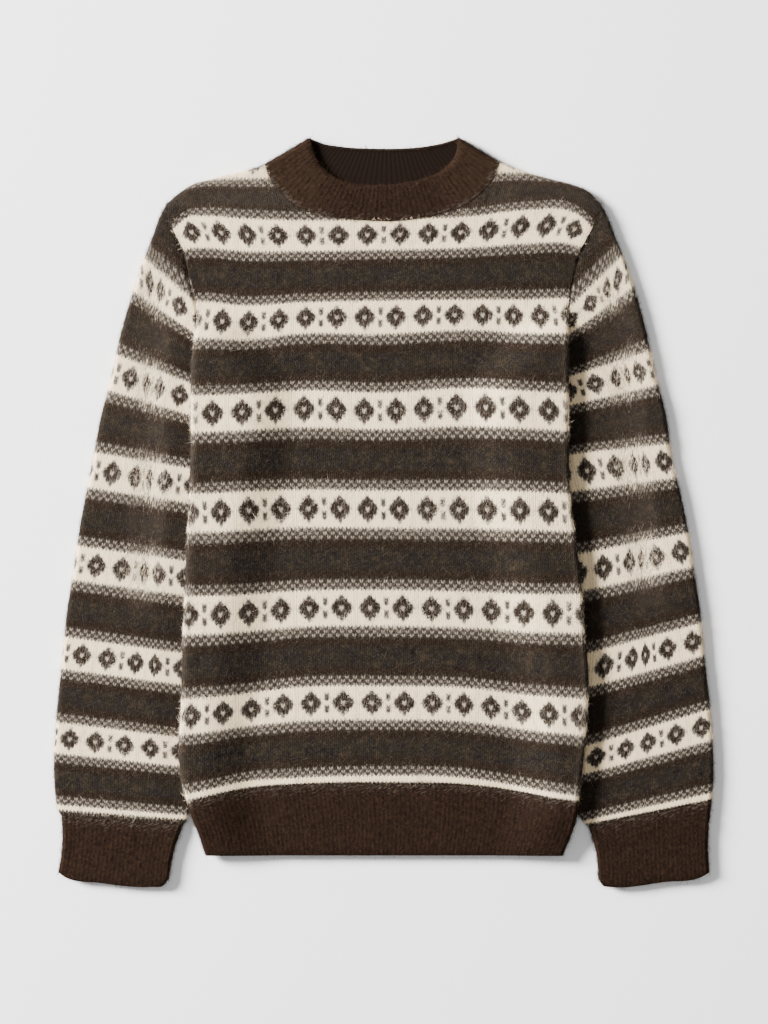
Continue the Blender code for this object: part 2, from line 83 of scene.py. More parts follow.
# Heights on Y, with the side folds' distances to the left and right of the middle
HEM_SIDES = (
    (-343, 177.5, 179.0),
    (-336, 180.0, 181.5),
    (-322, 184.0, 187.0),
    (-306, 190.0, 192.0),
    (-290, 195.0, 194.5),
)
BODY_SIDES = (
    (-290, 195.0, 194.5),
    (-279, 199.0, 195.5),
    (-267, 201.5, 197.0),
    (-237, 204.0, 200.0),
    (-203, 202.0, 203.0),
    (-165, 201.0, 204.0),
    (-120, 200.0, 200.5),
    (-75, 197.5, 197.5),
    (-27, 196.0, 191.0),
    (25, 193.5, 185.5),
    (72, 192.0, 184.5),
    (112, 192.0, 184.5),
    (147, 191.5, 184.5),
    (167, 190.0, 184.5),
    (180, 188.0, 184.5),
    (192, 187.0, 184.7),
    (208, 187.0, 185.0),
    (222, 190.0, 186.0),
    (236, 193.5, 188.0),
    (247, 195.5, 190.5),
    (257, 198.0, 194.0),
    (270, 204.0, 201.0),
    (282, 210.0, 207.5),
    (295, 213.5, 212.5),
    (308.5, 216.5, 216.5),
)
BODY_LOW, BODY_HIGH = BODY_SIDES[0][0], BODY_SIDES[-1][0]
HEM_SEAM = (
    (-195.0, -290.0),
    (-178.5, -287.0),
    (-143.5, -278.5),
    (-113.5, -275.0),
    (-83.5, -273.0),
    (0.0, -272.0),
    (86.5, -274.0),
    (116.5, -277.0),
    (146.5, -282.0),
    (186.5, -289.0),
    (194.5, -290.0),
)
RIGHT_SHOULDER = (
    (-216.5, 308.5),
    (-206.5, 317.0),
    (-190.5, 327.5),
    (-173.0, 332.5),
    (-155.0, 337.0),
    (-138.0, 341.0),
)
FRONT_NECKLINE = (
    (-118.7, 347.4),
    (-114.0, 334.5),
    (-105.5, 324.0),
    (-93.0, 310.5),
    (-79.0, 302.0),
    (-60.0, 296.0),
    (-36.0, 292.5),
    (-12.0, 290.7),
    (12.0, 290.4),
    (42.0, 294.3),
    (66.0, 300.5),
    (84.0, 308.5),
    (96.0, 317.5),
    (105.8, 328.2),
    (112.2, 337.8),
    (115.4, 349.7),
)
LEFT_SHOULDER = (
    (134.5, 342.6),
    (154.0, 336.3),
    (172.5, 331.5),
    (188.7, 327.4),
    (204.6, 320.3),
    (216.5, 308.5),
)

# Heights of numbered courses across the body, at these places on X. Course 0 is the top of the
# first full band, and below it each band has 24 courses down to the thin line above the hem. The
# rows at -33.05 and -145.65 follow the lower edge of a cream band and of that line.
COURSE_PLACES = (-210, -196, -178.5, -143.5, -83.5, 0, 86.5, 146.5, 186.5, 197, 210)
COURSES = (
    (-147, (-290, -290, -287, -278, -273, -272, -274, -282, -289, -290, -290)),
    (-145.65, (-287.5, -286.5, -282.5, -276, -271.2, -269.3, -271.8, -280.2, -286, -287, -288)),
    (-144, (-282.4, -281.4, -278.3, -270.8, -266.5, -264.2, -266.9, -276.6, -282.5, -284, -284)),
    (-120, (-187, -187, -186, -183, -176, -175, -177, -184, -186, -187, -187)),
    (-96, (-85, -85, -85, -84, -80, -79, -81, -83, -83, -83, -83)),
    (-72, (17, 17, 17, 19, 21, 20, 20, 19, 17, 17, 17)),
    (-48, (115, 115, 115, 116, 120, 118, 122.5, 119, 117, 117, 117)),
    (-33.05, (170.2, 170.8, 171.3, 169.9, 176.6, 176.2, 180.4, 176.7, 175.9, 175.4, 174.8)),
    (-24, (207, 208, 209, 205, 208, 210, 211, 211, 212, 211, 210)),
    (0, (281, 293, 294.5, 292, 290, 291, 294, 300.5, 299, 294, 281)),
    (3, (290, 301, 303, 301.5, 299, 299.5, 302.5, 309.5, 308.5, 303, 291)),
    (12, (320, 322, 324, 323.5, 324, 325, 327, 330, 326, 323, 320)),
    (15, (328, 330, 331, 331.5, 332, 334, 336, 337, 333, 330, 328)),
    (24, (364, 366, 367, 367, 368, 370, 372, 373, 369, 366, 364)),
)
# In a band the cream courses are knitted a little shorter than the dark ones
BAND_SHARES = (0, 0.377, 0.491, 0.894, 1)
BAND_COURSES = (0, 9, 12, 21, 24)

# Places on X of the middles of numbered stitches, at these heights on Y
WALE_NUMBERS = (-44.5, -29.5, -14.5, 0.5, 15.5, 30.5, 45.5)
WALES = (
    (-193, (-175.5, -116, -56.5, 5, 65, 122.5, 180)),
    (-97, (-178, -118.5, -58, 3, 64.5, 123.5, 184.5)),
    (2, (-177.5, -118, -59, 0, 59.5, 119.5, 180)),
    (102, (-187, -124, -63, -3.5, 56.5, 118.5, 181)),
    (192, (-175.5, -119.5, -62.5, -3, 55, 115, 171.5)),
    (262, (-172.5, -119.5, -60.8, 0.2, 59.5, 117.5, 169.5)),
    (278, (-176.5, -121.5, -61.5, 0.5, 61, 120.5, 174.5)),
    (296, (-182, -125, -62.5, 0.5, 62.5, 124, 181)),
    (345, (-172, -113, -62, 0.5, 62, 114, 172)),
)


def mix(low, high, share):
    return low + (high - low) * share


def ease(share):
    share = np.clip(share, 0, 1)
    return share * share * (3 - 2 * share)


def curve(rows):
    """A smooth line through rows of a place and a value, to be read at any places."""
    places, values = np.array(rows, float).T
    slopes = np.gradient(values, places)

    def read(at):
        at = np.clip(at, places[0], places[-1])
        low = np.clip(np.searchsorted(places, at) - 1, 0, len(places) - 2)
        span = places[low + 1] - places[low]
        share = (at - places[low]) / span
        bend = slopes[low] * (1 - share) - slopes[low + 1] * share
        level = mix(values[low], values[low + 1], ease(share))
        return level + bend * span * share * (1 - share)

    return read


hem_left = curve([(height, left) for height, left, right in HEM_SIDES])
hem_right = curve([(height, right) for height, left, right in HEM_SIDES])
body_left = curve([(height, left) for height, left, right in BODY_SIDES])
body_right = curve([(height, right) for height, left, right in BODY_SIDES])
hem_seam = curve(HEM_SEAM)


def upper_edge(neckline):
    """The height of a panel's upper edge along X: a shoulder, the neckline, a shoulder."""
    right, left = curve([*RIGHT_SHOULDER, neckline[0]]), curve([neckline[-1], *LEFT_SHOULDER])
    neck = curve(neckline)

    def read(x):
        shoulders = np.where(x < 0, right(x), left(x))
        inside = (x > neckline[0][0]) & (x < neckline[-1][0])
        return np.where(inside, neck(x) - SEAM / 2, shoulders), inside

    return read


def side_raised(x, y):
    """How far the body lies above the surface where its sides rest on the sleeves."""
    left = np.where(y < BODY_LOW, hem_left(y), body_left(y))
    right = np.where(y < BODY_LOW, hem_right(y), body_right(y))
    inside = np.where(x < 0, left, right) - np.abs(x)
    shelf = np.interp(y, *np.array(SHELF, float).T)
    most = np.where(x < 0, SIDE_RAISED, LEFT_SIDE_RAISED)
    raised = most * ease((UNDERARM_FLAT - y) / (UNDERARM_FLAT - UNDERARM_RAISED))
    let_down = ease((HEM_LETS_DOWN - y) / (HEM_LETS_DOWN - HEM_SIDES[0][0]))
    raised = np.where(y < HEM_LETS_DOWN, mix(most, HEM_CORNER_RAISED, let_down), raised)
    return raised * (1 - ease((inside - shelf) / SLOPE_DOWN))


def turned(share, span, low, high, depth, fold=FOLD):
    """Where a share of a layer's cloth lies across its span, and how far round the fold it is.

    low and high are the angles at which the cloth stops at either side, 0 at a fold. The last
    value is how much further the cloth runs than the span, counted outwards from the middle.
    """
    first, last = fold * (pi / 2 - low), fold * (pi / 2 - high)
    girth = first + last + span - fold * (np.cos(low) + np.cos(high))
    run, rest = share * girth, (1 - share) * girth
    near = np.minimum(low + run / fold, pi / 2)
    far = np.minimum(high + rest / fold, pi / 2)
    place = fold * np.cos(low) - (fold - depth) * np.cos(near) + np.maximum(run - first, 0)
    end = span - fold * np.cos(high) + (fold - depth) * np.cos(far)
    place = np.where(far < pi / 2, end, place)
    spare = fold * ((pi / 2 - far) - np.cos(far) - (pi / 2 - near) + np.cos(near))
    return place, np.sin(np.minimum(near, far)), spare


def counted(marks, numbers, at):
    """Reads a place as a stitch or course number, from the places of the numbered ones."""
    count = np.full(np.shape(at), float(numbers[0]))
    last = len(marks) - 2
    for step, (low, high) in enumerate(zip(marks, marks[1:])):
        share = (at - low) / (high - low)
        share = share if step == 0 else np.maximum(share, 0)
        share = share if step == last else np.minimum(share, 1)
        count = count + share * (numbers[step + 1] - numbers[step])
    return count


def in_bands(course, top):
    """Gives each band's courses their own heights, from course top down."""
    bands = -course / 24
    band = np.floor(bands)
    full = 24 * band + np.interp(bands - band, BAND_SHARES, BAND_COURSES)
    return np.where((course < top) & (course > -144), -full, course)


course_lines = [curve(list(zip(COURSE_PLACES, heights))) for number, heights in COURSES]
course_numbers = [number for number, heights in COURSES]
wale_lines = [curve([(height, places[n]) for height, places in WALES]) for n in range(7)]


def body_stitches(x, y):
    """The wale and course of the body's cloth at a place on it."""
    wale = counted([line(y) for line in wale_lines], WALE_NUMBERS, x)
    course = counted([line(x) for line in course_lines], course_numbers, y)
    return wale, in_bands(course, 0)


def panel_cloth(neckline, facing):
    """Where the cloth of the front, facing 1, or of the back, facing -1, lies."""
    top = upper_edge(neckline)
    corner = BODY_SIDES[-1][1]

    def cloth(across, up, depth):
        u, v = across, up
        for _ in range(3):
            height = mix(BODY_LOW, BODY_HIGH, v)
            sewn = SEAM_SLOPE * ease((height - UNDERARM_RAISED) / (UNDERARM_FLAT - UNDERARM_RAISED))
            left, right = SEAM / 2 - body_left(height), body_right(height) - SEAM / 2
            place, out, wider = turned(across, right - left, sewn, sewn, depth)
            u = place / (right - left)
            low = hem_seam(mix(HEM_SEAM[0][0], HEM_SEAM[-1][0], u)) + SEAM / 2
            high, neck = top(mix(-corner, corner, u))
            closed = np.where(neck, SEAM_SLOPE, 0)
            climb, rise, longer = turned(up, high - low, SEAM_SLOPE, closed, depth)
            v = climb / (high - low)
        x, y = mix(left, right, u), mix(low, high, v)
        middle = FOLD + side_raised(x, y) + (SEAM if facing > 0 else 0)
        z = middle + facing * (FOLD - depth) * out * rise
        return (x, y, z), body_stitches(x + wider, y + longer)

    return cloth


def knitted(name, columns, rows, cloth, slot, tube=False, flipped=False, lined=0, rim=0):
    """A piece of knitting on its own object.

    cloth() gives the place and the stitch of each share of the piece, across it and up it. A
    tube's long edges are joined. A lined piece is a closed wall this thick, and a rim turns in.
    """
    piece = bmesh.new()
    bmesh.ops.create_grid(piece, x_segments=columns, y_segments=rows, size=0.5)
    across = piece.verts.layers.float.new("across")
    up = piece.verts.layers.float.new("up")
    outside = piece.verts.layers.float.new("outside")
    for vert in piece.verts:
        vert[across], vert[up], vert[outside] = vert.co.x + 0.5, vert.co.y + 0.5, 1

    def place(verts, depth):
        shares = np.array([(vert[across], vert[up]) for vert in verts]).T
        points, stitches = cloth(*np.clip(shares, 0, 1), depth)
        for vert, point in zip(verts, np.transpose(points) * METRES):
            vert.co = point
        return np.transpose(stitches)

    stitches = place(list(piece.verts), 0)
    stitch_map = piece.loops.layers.uv.new("Stitches")
    piece.verts.index_update()
    for face in piece.faces:
        for loop in face.loops:
            loop[stitch_map].uv = stitches[loop.vert.index]
    if flipped:
        bmesh.ops.reverse_faces(piece, faces=piece.faces)
    if tube:
        bmesh.ops.remove_doubles(piece, verts=piece.verts, dist=0.05 * METRES)
    if rim:
        edges = [edge for edge in piece.edges if edge.is_boundary]
        turned_in = bmesh.ops.extrude_edge_only(piece, edges=edges)["geom"]
    if lined:
        turned_in = bmesh.ops.extrude_face_region(piece, geom=piece.faces[:], use_keep_orig=True)
        turned_in = turned_in["geom"]
    if rim or lined:
        inner = [part for part in turned_in if isinstance(part, bmesh.types.BMVert)]
        place(inner, rim or lined)
        for vert in inner:
            vert[outside] = 0
    if lined:
        bmesh.ops.recalc_face_normals(piece, faces=piece.faces)
    # The extrusion leaves the faces in another order on each run, and the fibres follow that order
    piece.verts.index_update()
    in_order = sorted(piece.faces, key=lambda face: sorted(vert.index for vert in face.verts))
    for index, face in enumerate(in_order):
        face.index = index
    piece.faces.sort()
    mesh = bpy.data.meshes.new(name)
    piece.to_mesh(mesh)
    piece.free()
    mesh.shade_smooth()
    mesh.set_sharp_from_angle(angle=radians(60))
    shown = bpy.data.objects.new(name, mesh)
    bpy.context.scene.collection.objects.link(shown)
    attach(shown, "root")
    return shown


def hex_colour(code):
    """An sRGB colour as Blender's linear one."""
    parts = [int(code[start : start + 2], 16) / 255 for start in (1, 3, 5)]
    return [c / 12.92 if c <= 0.04045 else ((c + 0.055) / 1.055) ** 2.4 for c in parts] + [1]


def add(tree, kind, inputs=None, output=0, **settings):
    """Adds a node with its settings, sets or links its inputs, and gives one of its outputs."""
    node = tree.nodes.new(kind)
    for setting, value in settings.items():
        setattr(node, setting, value)
    for socket, value in (inputs or {}).items():
        if isinstance(value, bpy.types.NodeSocket):
            tree.links.new(value, node.inputs[socket])
        else:
            node.inputs[socket].default_value = value
    return node.outputs[output] if node.outputs else node


# The chart that the knitter follows, as a function of the stitch and the course. Rows are counted
# down from the top of the first full band, and those of a band from its own top.
BAND_ROWS, FIELD_ROWS = 24, 9  # in a band, and in its cream part
REPEAT = 15  # stitches, with a column of dots in the middle of them
HALF_REPEAT = REPEAT // 2
V_DEEP = 0.7  # a stitch is a V, and its middle lies this share of a course below its sides
ROW_HIGH = 0.88  # height of a course in a diamond, in stitches
DIAMOND_STITCH, DIAMOND_ROW = 4, 4  # its middle, from the column of dots and the top of its band
DOT_OFF = 1.5  # the dots stand this many stitches above and below the diamonds' middle
# Brushing softens a motif. It fades in between these distances from its middle, in stitches.
DIAMOND_EDGE, HEART_EDGE = (3.2, 2.65), (0.65, 0.15)
COLUMN_EDGE, DOT_EDGE = (0.95, 0.6), (1.1, 0.75)
DIRECT = 0.35  # how far the diamonds' corners are rounded off
THIN_LINE_ROW, LAST_ROWS = 144, 146  # where the thin cream line and the brown below it start
LADDER_OFF, LADDER_HALF = 0.33, 0.09  # two gaps, this far from midway between the columns
CHECK_ROWS, CHARCOAL_ROW = (10, 22), 16  # the middle rows of three, and of five

chart = bpy.data.node_groups.new("band chart", "ShaderNodeTree")
chart.interface.new_socket("Stitch", in_out="INPUT", socket_type="NodeSocketVector")
for output in ("Cream", "Charcoal", "Yarn", "Ladder"):
    chart.interface.new_socket(output, in_out="OUTPUT", socket_type="NodeSocketFloat")
given = add(chart, "NodeGroupInput")
wale, course = add(chart, "ShaderNodeSeparateXYZ", {0: given}).node.outputs[:2]
to_edge = add(chart, "ShaderNodeMath", {0: wale, 1: 0.5}, operation="PINGPONG")
down = add(chart, "ShaderNodeMath", {0: V_DEEP, 1: course}, operation="SUBTRACT")
dip = {0: to_edge, 1: -2 * V_DEEP, 2: down}
down = add(chart, "ShaderNodeMath", dip, operation="MULTIPLY_ADD")
row = add(chart, "ShaderNodeMath", {0: down}, operation="FLOOR")
stitch = add(chart, "ShaderNodeMath", {0: wale}, operation="FLOOR")
band_row = add(chart, "ShaderNodeMath", {0: row, 1: BAND_ROWS}, operation="FLOORED_MODULO")
# Brushing rounds off the steps of the diamonds and dots, so each distance from their middles is
# half by whole stitches and half by the true place
column = {0: stitch, 1: HALF_REPEAT + 1, 2: -HALF_REPEAT}
column = add(chart, "ShaderNodeMath", column, operation="WRAP")
column = add(chart, "ShaderNodeMath", {0: column}, operation="ABSOLUTE")
true_column = {0: wale, 1: HALF_REPEAT + 1, 2: -HALF_REPEAT}
true_column = add(chart, "ShaderNodeMath", true_column, operation="WRAP")
true_column = add(chart, "ShaderNodeMath", {0: true_column, 1: 0.5}, operation="SUBTRACT")
true_column = add(chart, "ShaderNodeMath", {0: true_column}, operation="ABSOLUTE")
column = add(chart, "ShaderNodeMix", {0: 0.5, 2: column, 3: true_column})
beside = add(chart, "ShaderNodeMath", {0: column, 1: DIAMOND_STITCH}, operation="SUBTRACT")
beside = add(chart, "ShaderNodeMath", {0: beside}, operation="ABSOLUTE")
above = add(chart, "ShaderNodeMath", {0: band_row, 1: DIAMOND_ROW}, operation="SUBTRACT")
above = add(chart, "ShaderNodeMath", {0: above}, operation="ABSOLUTE")
level = add(chart, "ShaderNodeMath", {0: V_DEEP / 2, 1: course}, operation="SUBTRACT")
level = add(chart, "ShaderNodeMath", {0: level, 1: BAND_ROWS}, operation="FLOORED_MODULO")
level = add(chart, "ShaderNodeMath", {0: level, 1: DIAMOND_ROW + 0.5}, operation="SUBTRACT")
level = add(chart, "ShaderNodeMath", {0: level}, operation="ABSOLUTE")
above = add(chart, "ShaderNodeMath", {0: above, 1: level}, operation="ADD")
above = add(chart, "ShaderNodeMath", {0: above, 1: ROW_HIGH / 2}, operation="MULTIPLY")
stepped = add(chart, "ShaderNodeMath", {0: beside, 1: above}, operation="ADD")
direct = add(chart, "ShaderNodeCombineXYZ", {0: beside, 1: above})
direct = add(chart, "ShaderNodeVectorMath", {0: direct}, "Value", operation="LENGTH")
reach = add(chart, "ShaderNodeMix", {0: DIRECT, 2: stepped, 3: direct})
diamond = add(chart, "ShaderNodeMapRange", {0: reach, 1: DIAMOND_EDGE[0], 2: DIAMOND_EDGE[1]})
heart = {0: reach, 1: HEART_EDGE[0], 2: HEART_EDGE[1], 4: 0.5}
heart = add(chart, "ShaderNodeMapRange", heart)
diamond = add(chart, "ShaderNodeMath", {0: diamond, 1: heart}, operation="SUBTRACT")
in_column = add(chart, "ShaderNodeMapRange", {0: column, 1: COLUMN_EDGE[0], 2: COLUMN_EDGE[1]})
dots = add(chart, "ShaderNodeMath", {0: above, 1: DOT_OFF}, operation="SUBTRACT")
dots = add(chart, "ShaderNodeMath", {0: dots}, operation="ABSOLUTE")
dots = add(chart, "ShaderNodeMapRange", {0: dots, 1: DOT_EDGE[0], 2: DOT_EDGE[1]})
dots = add(chart, "ShaderNodeMath", {0: dots, 1: in_column}, operation="MULTIPLY")
motif = add(chart, "ShaderNodeMath", {0: diamond, 1: dots}, operation="MAXIMUM")
# The thin cream line above the ribs is two plain courses, and the last courses are brown
in_band = add(chart, "ShaderNodeMath", {0: row, 1: THIN_LINE_ROW - 0.5}, operation="LESS_THAN")
motif = add(chart, "ShaderNodeMath", {0: motif, 1: in_band}, operation="MULTIPLY")
above_last = add(chart, "ShaderNodeMath", {0: row, 1: LAST_ROWS - 0.5}, operation="LESS_THAN")
field = add(chart, "ShaderNodeMath", {0: band_row, 1: FIELD_ROWS - 0.5}, operation="LESS_THAN")
field = add(chart, "ShaderNodeMath", {0: field, 1: above_last}, operation="MULTIPLY")
field = add(chart, "ShaderNodeMath", {0: field, 1: motif}, operation="SUBTRACT", use_clamp=True)
# Half way between two columns of dots the brown wool behind shows between the wales
between = add(chart, "ShaderNodeMath", {0: wale, 1: REPEAT}, operation="FLOORED_MODULO")
between = add(chart, "ShaderNodeMath", {0: between, 1: HALF_REPEAT + 1}, operation="SUBTRACT")
between = add(chart, "ShaderNodeMath", {0: between}, operation="ABSOLUTE")
ladder = {0: between, 1: LADDER_OFF, 2: LADDER_HALF}
ladder = add(chart, "ShaderNodeMath", ladder, operation="COMPARE")
# Three courses of single stitches, cream and brown in turn, on either side of the dark band
below, over = (
    add(chart, "ShaderNodeMath", {0: band_row, 1: middle, 2: 1.4}, operation="COMPARE")
    for middle in CHECK_ROWS
)
check = add(chart, "ShaderNodeMath", {0: below, 1: over}, operation="MAXIMUM")
turn = add(chart, "ShaderNodeMath", {0: stitch, 1: band_row}, operation="ADD")
turn = add(chart, "ShaderNodeMath", {0: turn, 1: 2}, operation="FLOORED_MODULO")
# How high the yarn stands: each leg of a V is round, and so is each course
leg = add(chart, "ShaderNodeMath", {0: to_edge, 1: 0.25}, operation="SUBTRACT")
leg = add(chart, "ShaderNodeMath", {0: leg}, operation="ABSOLUTE")
leg = add(chart, "ShaderNodeMath", {0: leg, 1: -4, 2: 1}, operation="MULTIPLY_ADD")
lap = add(chart, "ShaderNodeMath", {0: down}, operation="FRACT")
lap = add(chart, "ShaderNodeMath", {0: lap, 1: 0.5}, operation="PINGPONG")
lap = add(chart, "ShaderNodeMath", {0: lap, 1: 2}, operation="MULTIPLY")
yarn = add(chart, "ShaderNodeMath", {0: leg, 1: lap}, operation="MULTIPLY")
yarn = add(chart, "ShaderNodeMath", {0: yarn, 1: 0.5}, operation="POWER")
# Brushing draws brown wool over the single cream stitches, so only their middles show, by about
# half. A trace of cream is left on the brown ones beside them.
core = add(chart, "ShaderNodeMapRange", {0: yarn, 1: 0.3, 2: 0.95, 4: 0.53})
turn = add(chart, "ShaderNodeMath", {0: turn, 1: core, 2: 0.012}, operation="MULTIPLY_ADD")
check = add(chart, "ShaderNodeMath", {0: check, 1: turn}, operation="MULTIPLY")
cream = add(chart, "ShaderNodeMath", {0: field, 1: check}, operation="MAXIMUM")
charcoal = {0: band_row, 1: CHARCOAL_ROW, 2: 2.4}
charcoal = add(chart, "ShaderNodeMath", charcoal, operation="COMPARE")
outputs = {"Cream": cream, "Charcoal": charcoal, "Yarn": yarn, "Ladder": ladder}
add(chart, "NodeGroupOutput", outputs)


def wool(name, roughness):
    """A new wool material, which has almost no gloss, with its node tree and its shader."""
    material = bpy.data.materials.new(name)
    material.use_nodes = True
    shader = material.node_tree.nodes["Principled BSDF"]
    shader.inputs["Roughness"].default_value = roughness
    shader.inputs["Specular IOR Level"].default_value = 0.05
    return material, material.node_tree, shader


# Real fibres are 0.03 mm thick and 20 to 40 mm long. They are drawn as streaks of noise 1 mm wide
# and 6 mm or more long, far coarser than real, so that they show.
STREAKS = (160, 900, 400)  # to a metre, along, across and up


def streaked(tree, lies):
    """Fibres lying in a few directions, each a turn and a start, and the mean of them all."""
    place = add(tree, "ShaderNodeTexCoord", output="Object")
    fibres = []
    for turn_z, start in lies:
        lie = {"Vector": place, "Location": (start, 0, 0), "Rotation": (0, 0, turn_z)}
        lie = add(tree, "ShaderNodeMapping", lie, vector_type="TEXTURE")
        lie = add(tree, "ShaderNodeVectorMath", {0: lie, 1: STREAKS}, operation="MULTIPLY")
        lie = {"Vector": lie, "Scale": 1.0, "Detail": 2}
        fibres.append(add(tree, "ShaderNodeTexNoise", lie))
    mean = fibres[0]
    for fibre in fibres[1:]:
        mean = add(tree, "ShaderNodeMath", {0: mean, 1: fibre}, operation="ADD")
    mean = add(tree, "ShaderNodeMath", {0: mean, 1: len(fibres)}, operation="DIVIDE")
    return fibres, mean


# Brushed wool, knitted in bands. It is matt and cloudy: loose fibres carry each colour over the
# next, so no edge is sharp, the cream is streaked and the dark is flecked with grey.
CREAM, CREAM_SHADE, CREAM_HAZE = "#f0d8ae", "#e0c89f", "#d8ccbd"
# The second, paler dark is worn wool, and along the folds it is a painted highlight
FLECK, DARK_WORN_AND_HIGHLIT = "#42382f", "#6b5d50"
BROWN, BROWN_LIGHT = "#160f09", "#211810"
SOOT, CHARCOAL, MOSS, TAUPE = "#100c09", "#1b1715", "#1b1811", "#2c231b"
WANDERS = 420  # to a metre, one turn in 2.4 mm, which is about half a stitch
UNEVEN = 28  # to a metre, in patches of 36 mm
CHARCOAL_PATCHES = 90  # to a metre, in patches of 11 mm
HALF_GREY = (0.5, 0.5, 0.5)

banded_knit, tree, shader = wool("brushed wool knit in bands", 0.95)
stitches = add(tree, "ShaderNodeUVMap", uv_map="Stitches")
place = add(tree, "ShaderNodeTexCoord", output="Object")
fibres, fibre = streaked(tree, ((0.5, 0.0), (-0.7, 3.0), (1.4, 7.0)))
strewn = {0: fibres[2].node.outputs["Color"], 1: HALF_GREY}
strewn = add(tree, "ShaderNodeVectorMath", strewn, operation="SUBTRACT")
wander = {"Vector": place, "Scale": WANDERS, "Detail": 3}
wander = {0: add(tree, "ShaderNodeTexNoise", wander, "Color"), 1: HALF_GREY}
wander = add(tree, "ShaderNodeVectorMath", wander, operation="SUBTRACT")
# The chart is read at four places near each point, spread over this many stitches and courses
reads = []
for drift, spread in (
    (wander, (0.6, 0.7, 0)),
    (wander, (-1.2, -1.4, 0)),
    (wander, (5.0, 5.5, 0)),
    (strewn, (16, 14, 0)),
):
    read_at = {0: drift, 1: spread, 2: stitches}
    read_at = add(tree, "ShaderNodeVectorMath", read_at, operation="MULTIPLY_ADD")
    reads.append(add(tree, "ShaderNodeGroup", {0: read_at}, node_tree=chart).node.outputs)
sharp, soft, hazy, strays = reads
# The brushing is uneven: in some places the colours are drawn further into one another
uneven = add(tree, "ShaderNodeTexNoise", {"Vector": place, "Scale": UNEVEN, "Detail": 2})
blurred = add(tree, "ShaderNodeMapRange", {0: uneven, 1: 0.4, 2: 0.65, 3: 0.1, 4: 0.38})
# and where the sweater is worn, and along the folds where a highlight is painted, cream fibres are
# strewn furthest
wear_and_highlight = add(tree, "ShaderNodeAttribute", output="Fac", attribute_name="wear_and_highlight")
wear_and_highlight_strewn = add(tree, "ShaderNodeMath", {0: wear_and_highlight, 1: 0.55, 2: 0.07}, operation="MULTIPLY_ADD")
cream_share = sharp["Cream"]
for share, read in ((0.42, soft), (blurred, hazy), (wear_and_highlight_strewn, strays)):
    cream_share = add(tree, "ShaderNodeMix", {0: share, 2: cream_share, 3: read["Cream"]})
in_middle = add(tree, "ShaderNodeMix", {0: 0.6, 2: sharp["Charcoal"], 3: hazy["Charcoal"]})
# The middle of the dark band is a mixed yarn, in patches of charcoal, moss and taupe
patches = {"Vector": place, "Scale": CHARCOAL_PATCHES, "Detail": 5, "Roughness": 0.72}
patches = add(tree, "ShaderNodeTexNoise", patches)
patch_tones = add(tree, "ShaderNodeValToRGB", {0: patches})
tones = patch_tones.node.color_ramp.elements
tones[0].position, tones[0].color = 0.34, hex_colour(SOOT)
tones[1].position, tones[1].color = 0.66, hex_colour(TAUPE)
tones.new(0.45).color = hex_colour(CHARCOAL)
tones.new(0.54).color = hex_colour(MOSS)
brown = {0: fibre, 6: hex_colour(BROWN), 7: hex_colour(BROWN_LIGHT)}
brown = add(tree, "ShaderNodeMix", brown, 2, data_type="RGBA")
dark = add(tree, "ShaderNodeMix", {0: in_middle, 6: brown, 7: patch_tones}, 2, data_type="RGBA")
fleck = add(tree, "ShaderNodeMapRange", {0: fibre, 1: 0.5, 2: 0.68, 4: 0.5})
# The dark is lighter where the sweater is worn, and along its folds, where this is a painted highlight
wear_and_highlight_share = add(tree, "ShaderNodeMapRange", {0: wear_and_highlight, 2: 0.3, 4: 0.062})
for share, paler in ((fleck, FLECK), (wear_and_highlight_share, DARK_WORN_AND_HIGHLIT)):
    dark = {0: share, 6: dark, 7: hex_colour(paler)}
    dark = add(tree, "ShaderNodeMix", dark, 2, data_type="RGBA")
in_light = add(tree, "ShaderNodeMapRange", {0: fibre, 1: 0.35, 2: 0.65})
light = {0: in_light, 6: hex_colour(CREAM_SHADE), 7: hex_colour(CREAM)}
light = add(tree, "ShaderNodeMix", light, 2, data_type="RGBA")
light = {0: cream_share, 6: hex_colour(CREAM_HAZE), 7: light}
light = add(tree, "ShaderNodeMix", light, 2, data_type="RGBA")
gap = add(tree, "ShaderNodeMath", {0: sharp["Ladder"], 1: 0.35}, operation="MULTIPLY")
light = add(tree, "ShaderNodeMix", {0: gap, 6: light, 7: dark}, 2, data_type="RGBA")
colour = add(tree, "ShaderNodeMix", {0: cream_share, 6: dark, 7: light}, 2, data_type="RGBA")
tree.links.new(colour, shader.inputs["Base Color"])
height = {0: fibre, 1: 0.5, 2: sharp["Yarn"]}
height = add(tree, "ShaderNodeMath", height, operation="MULTIPLY_ADD")
bump = add(tree, "ShaderNodeBump", {"Height": height, "Strength": 0.6, "Distance": 0.8 * METRES})
tree.links.new(bump, shader.inputs["Normal"])

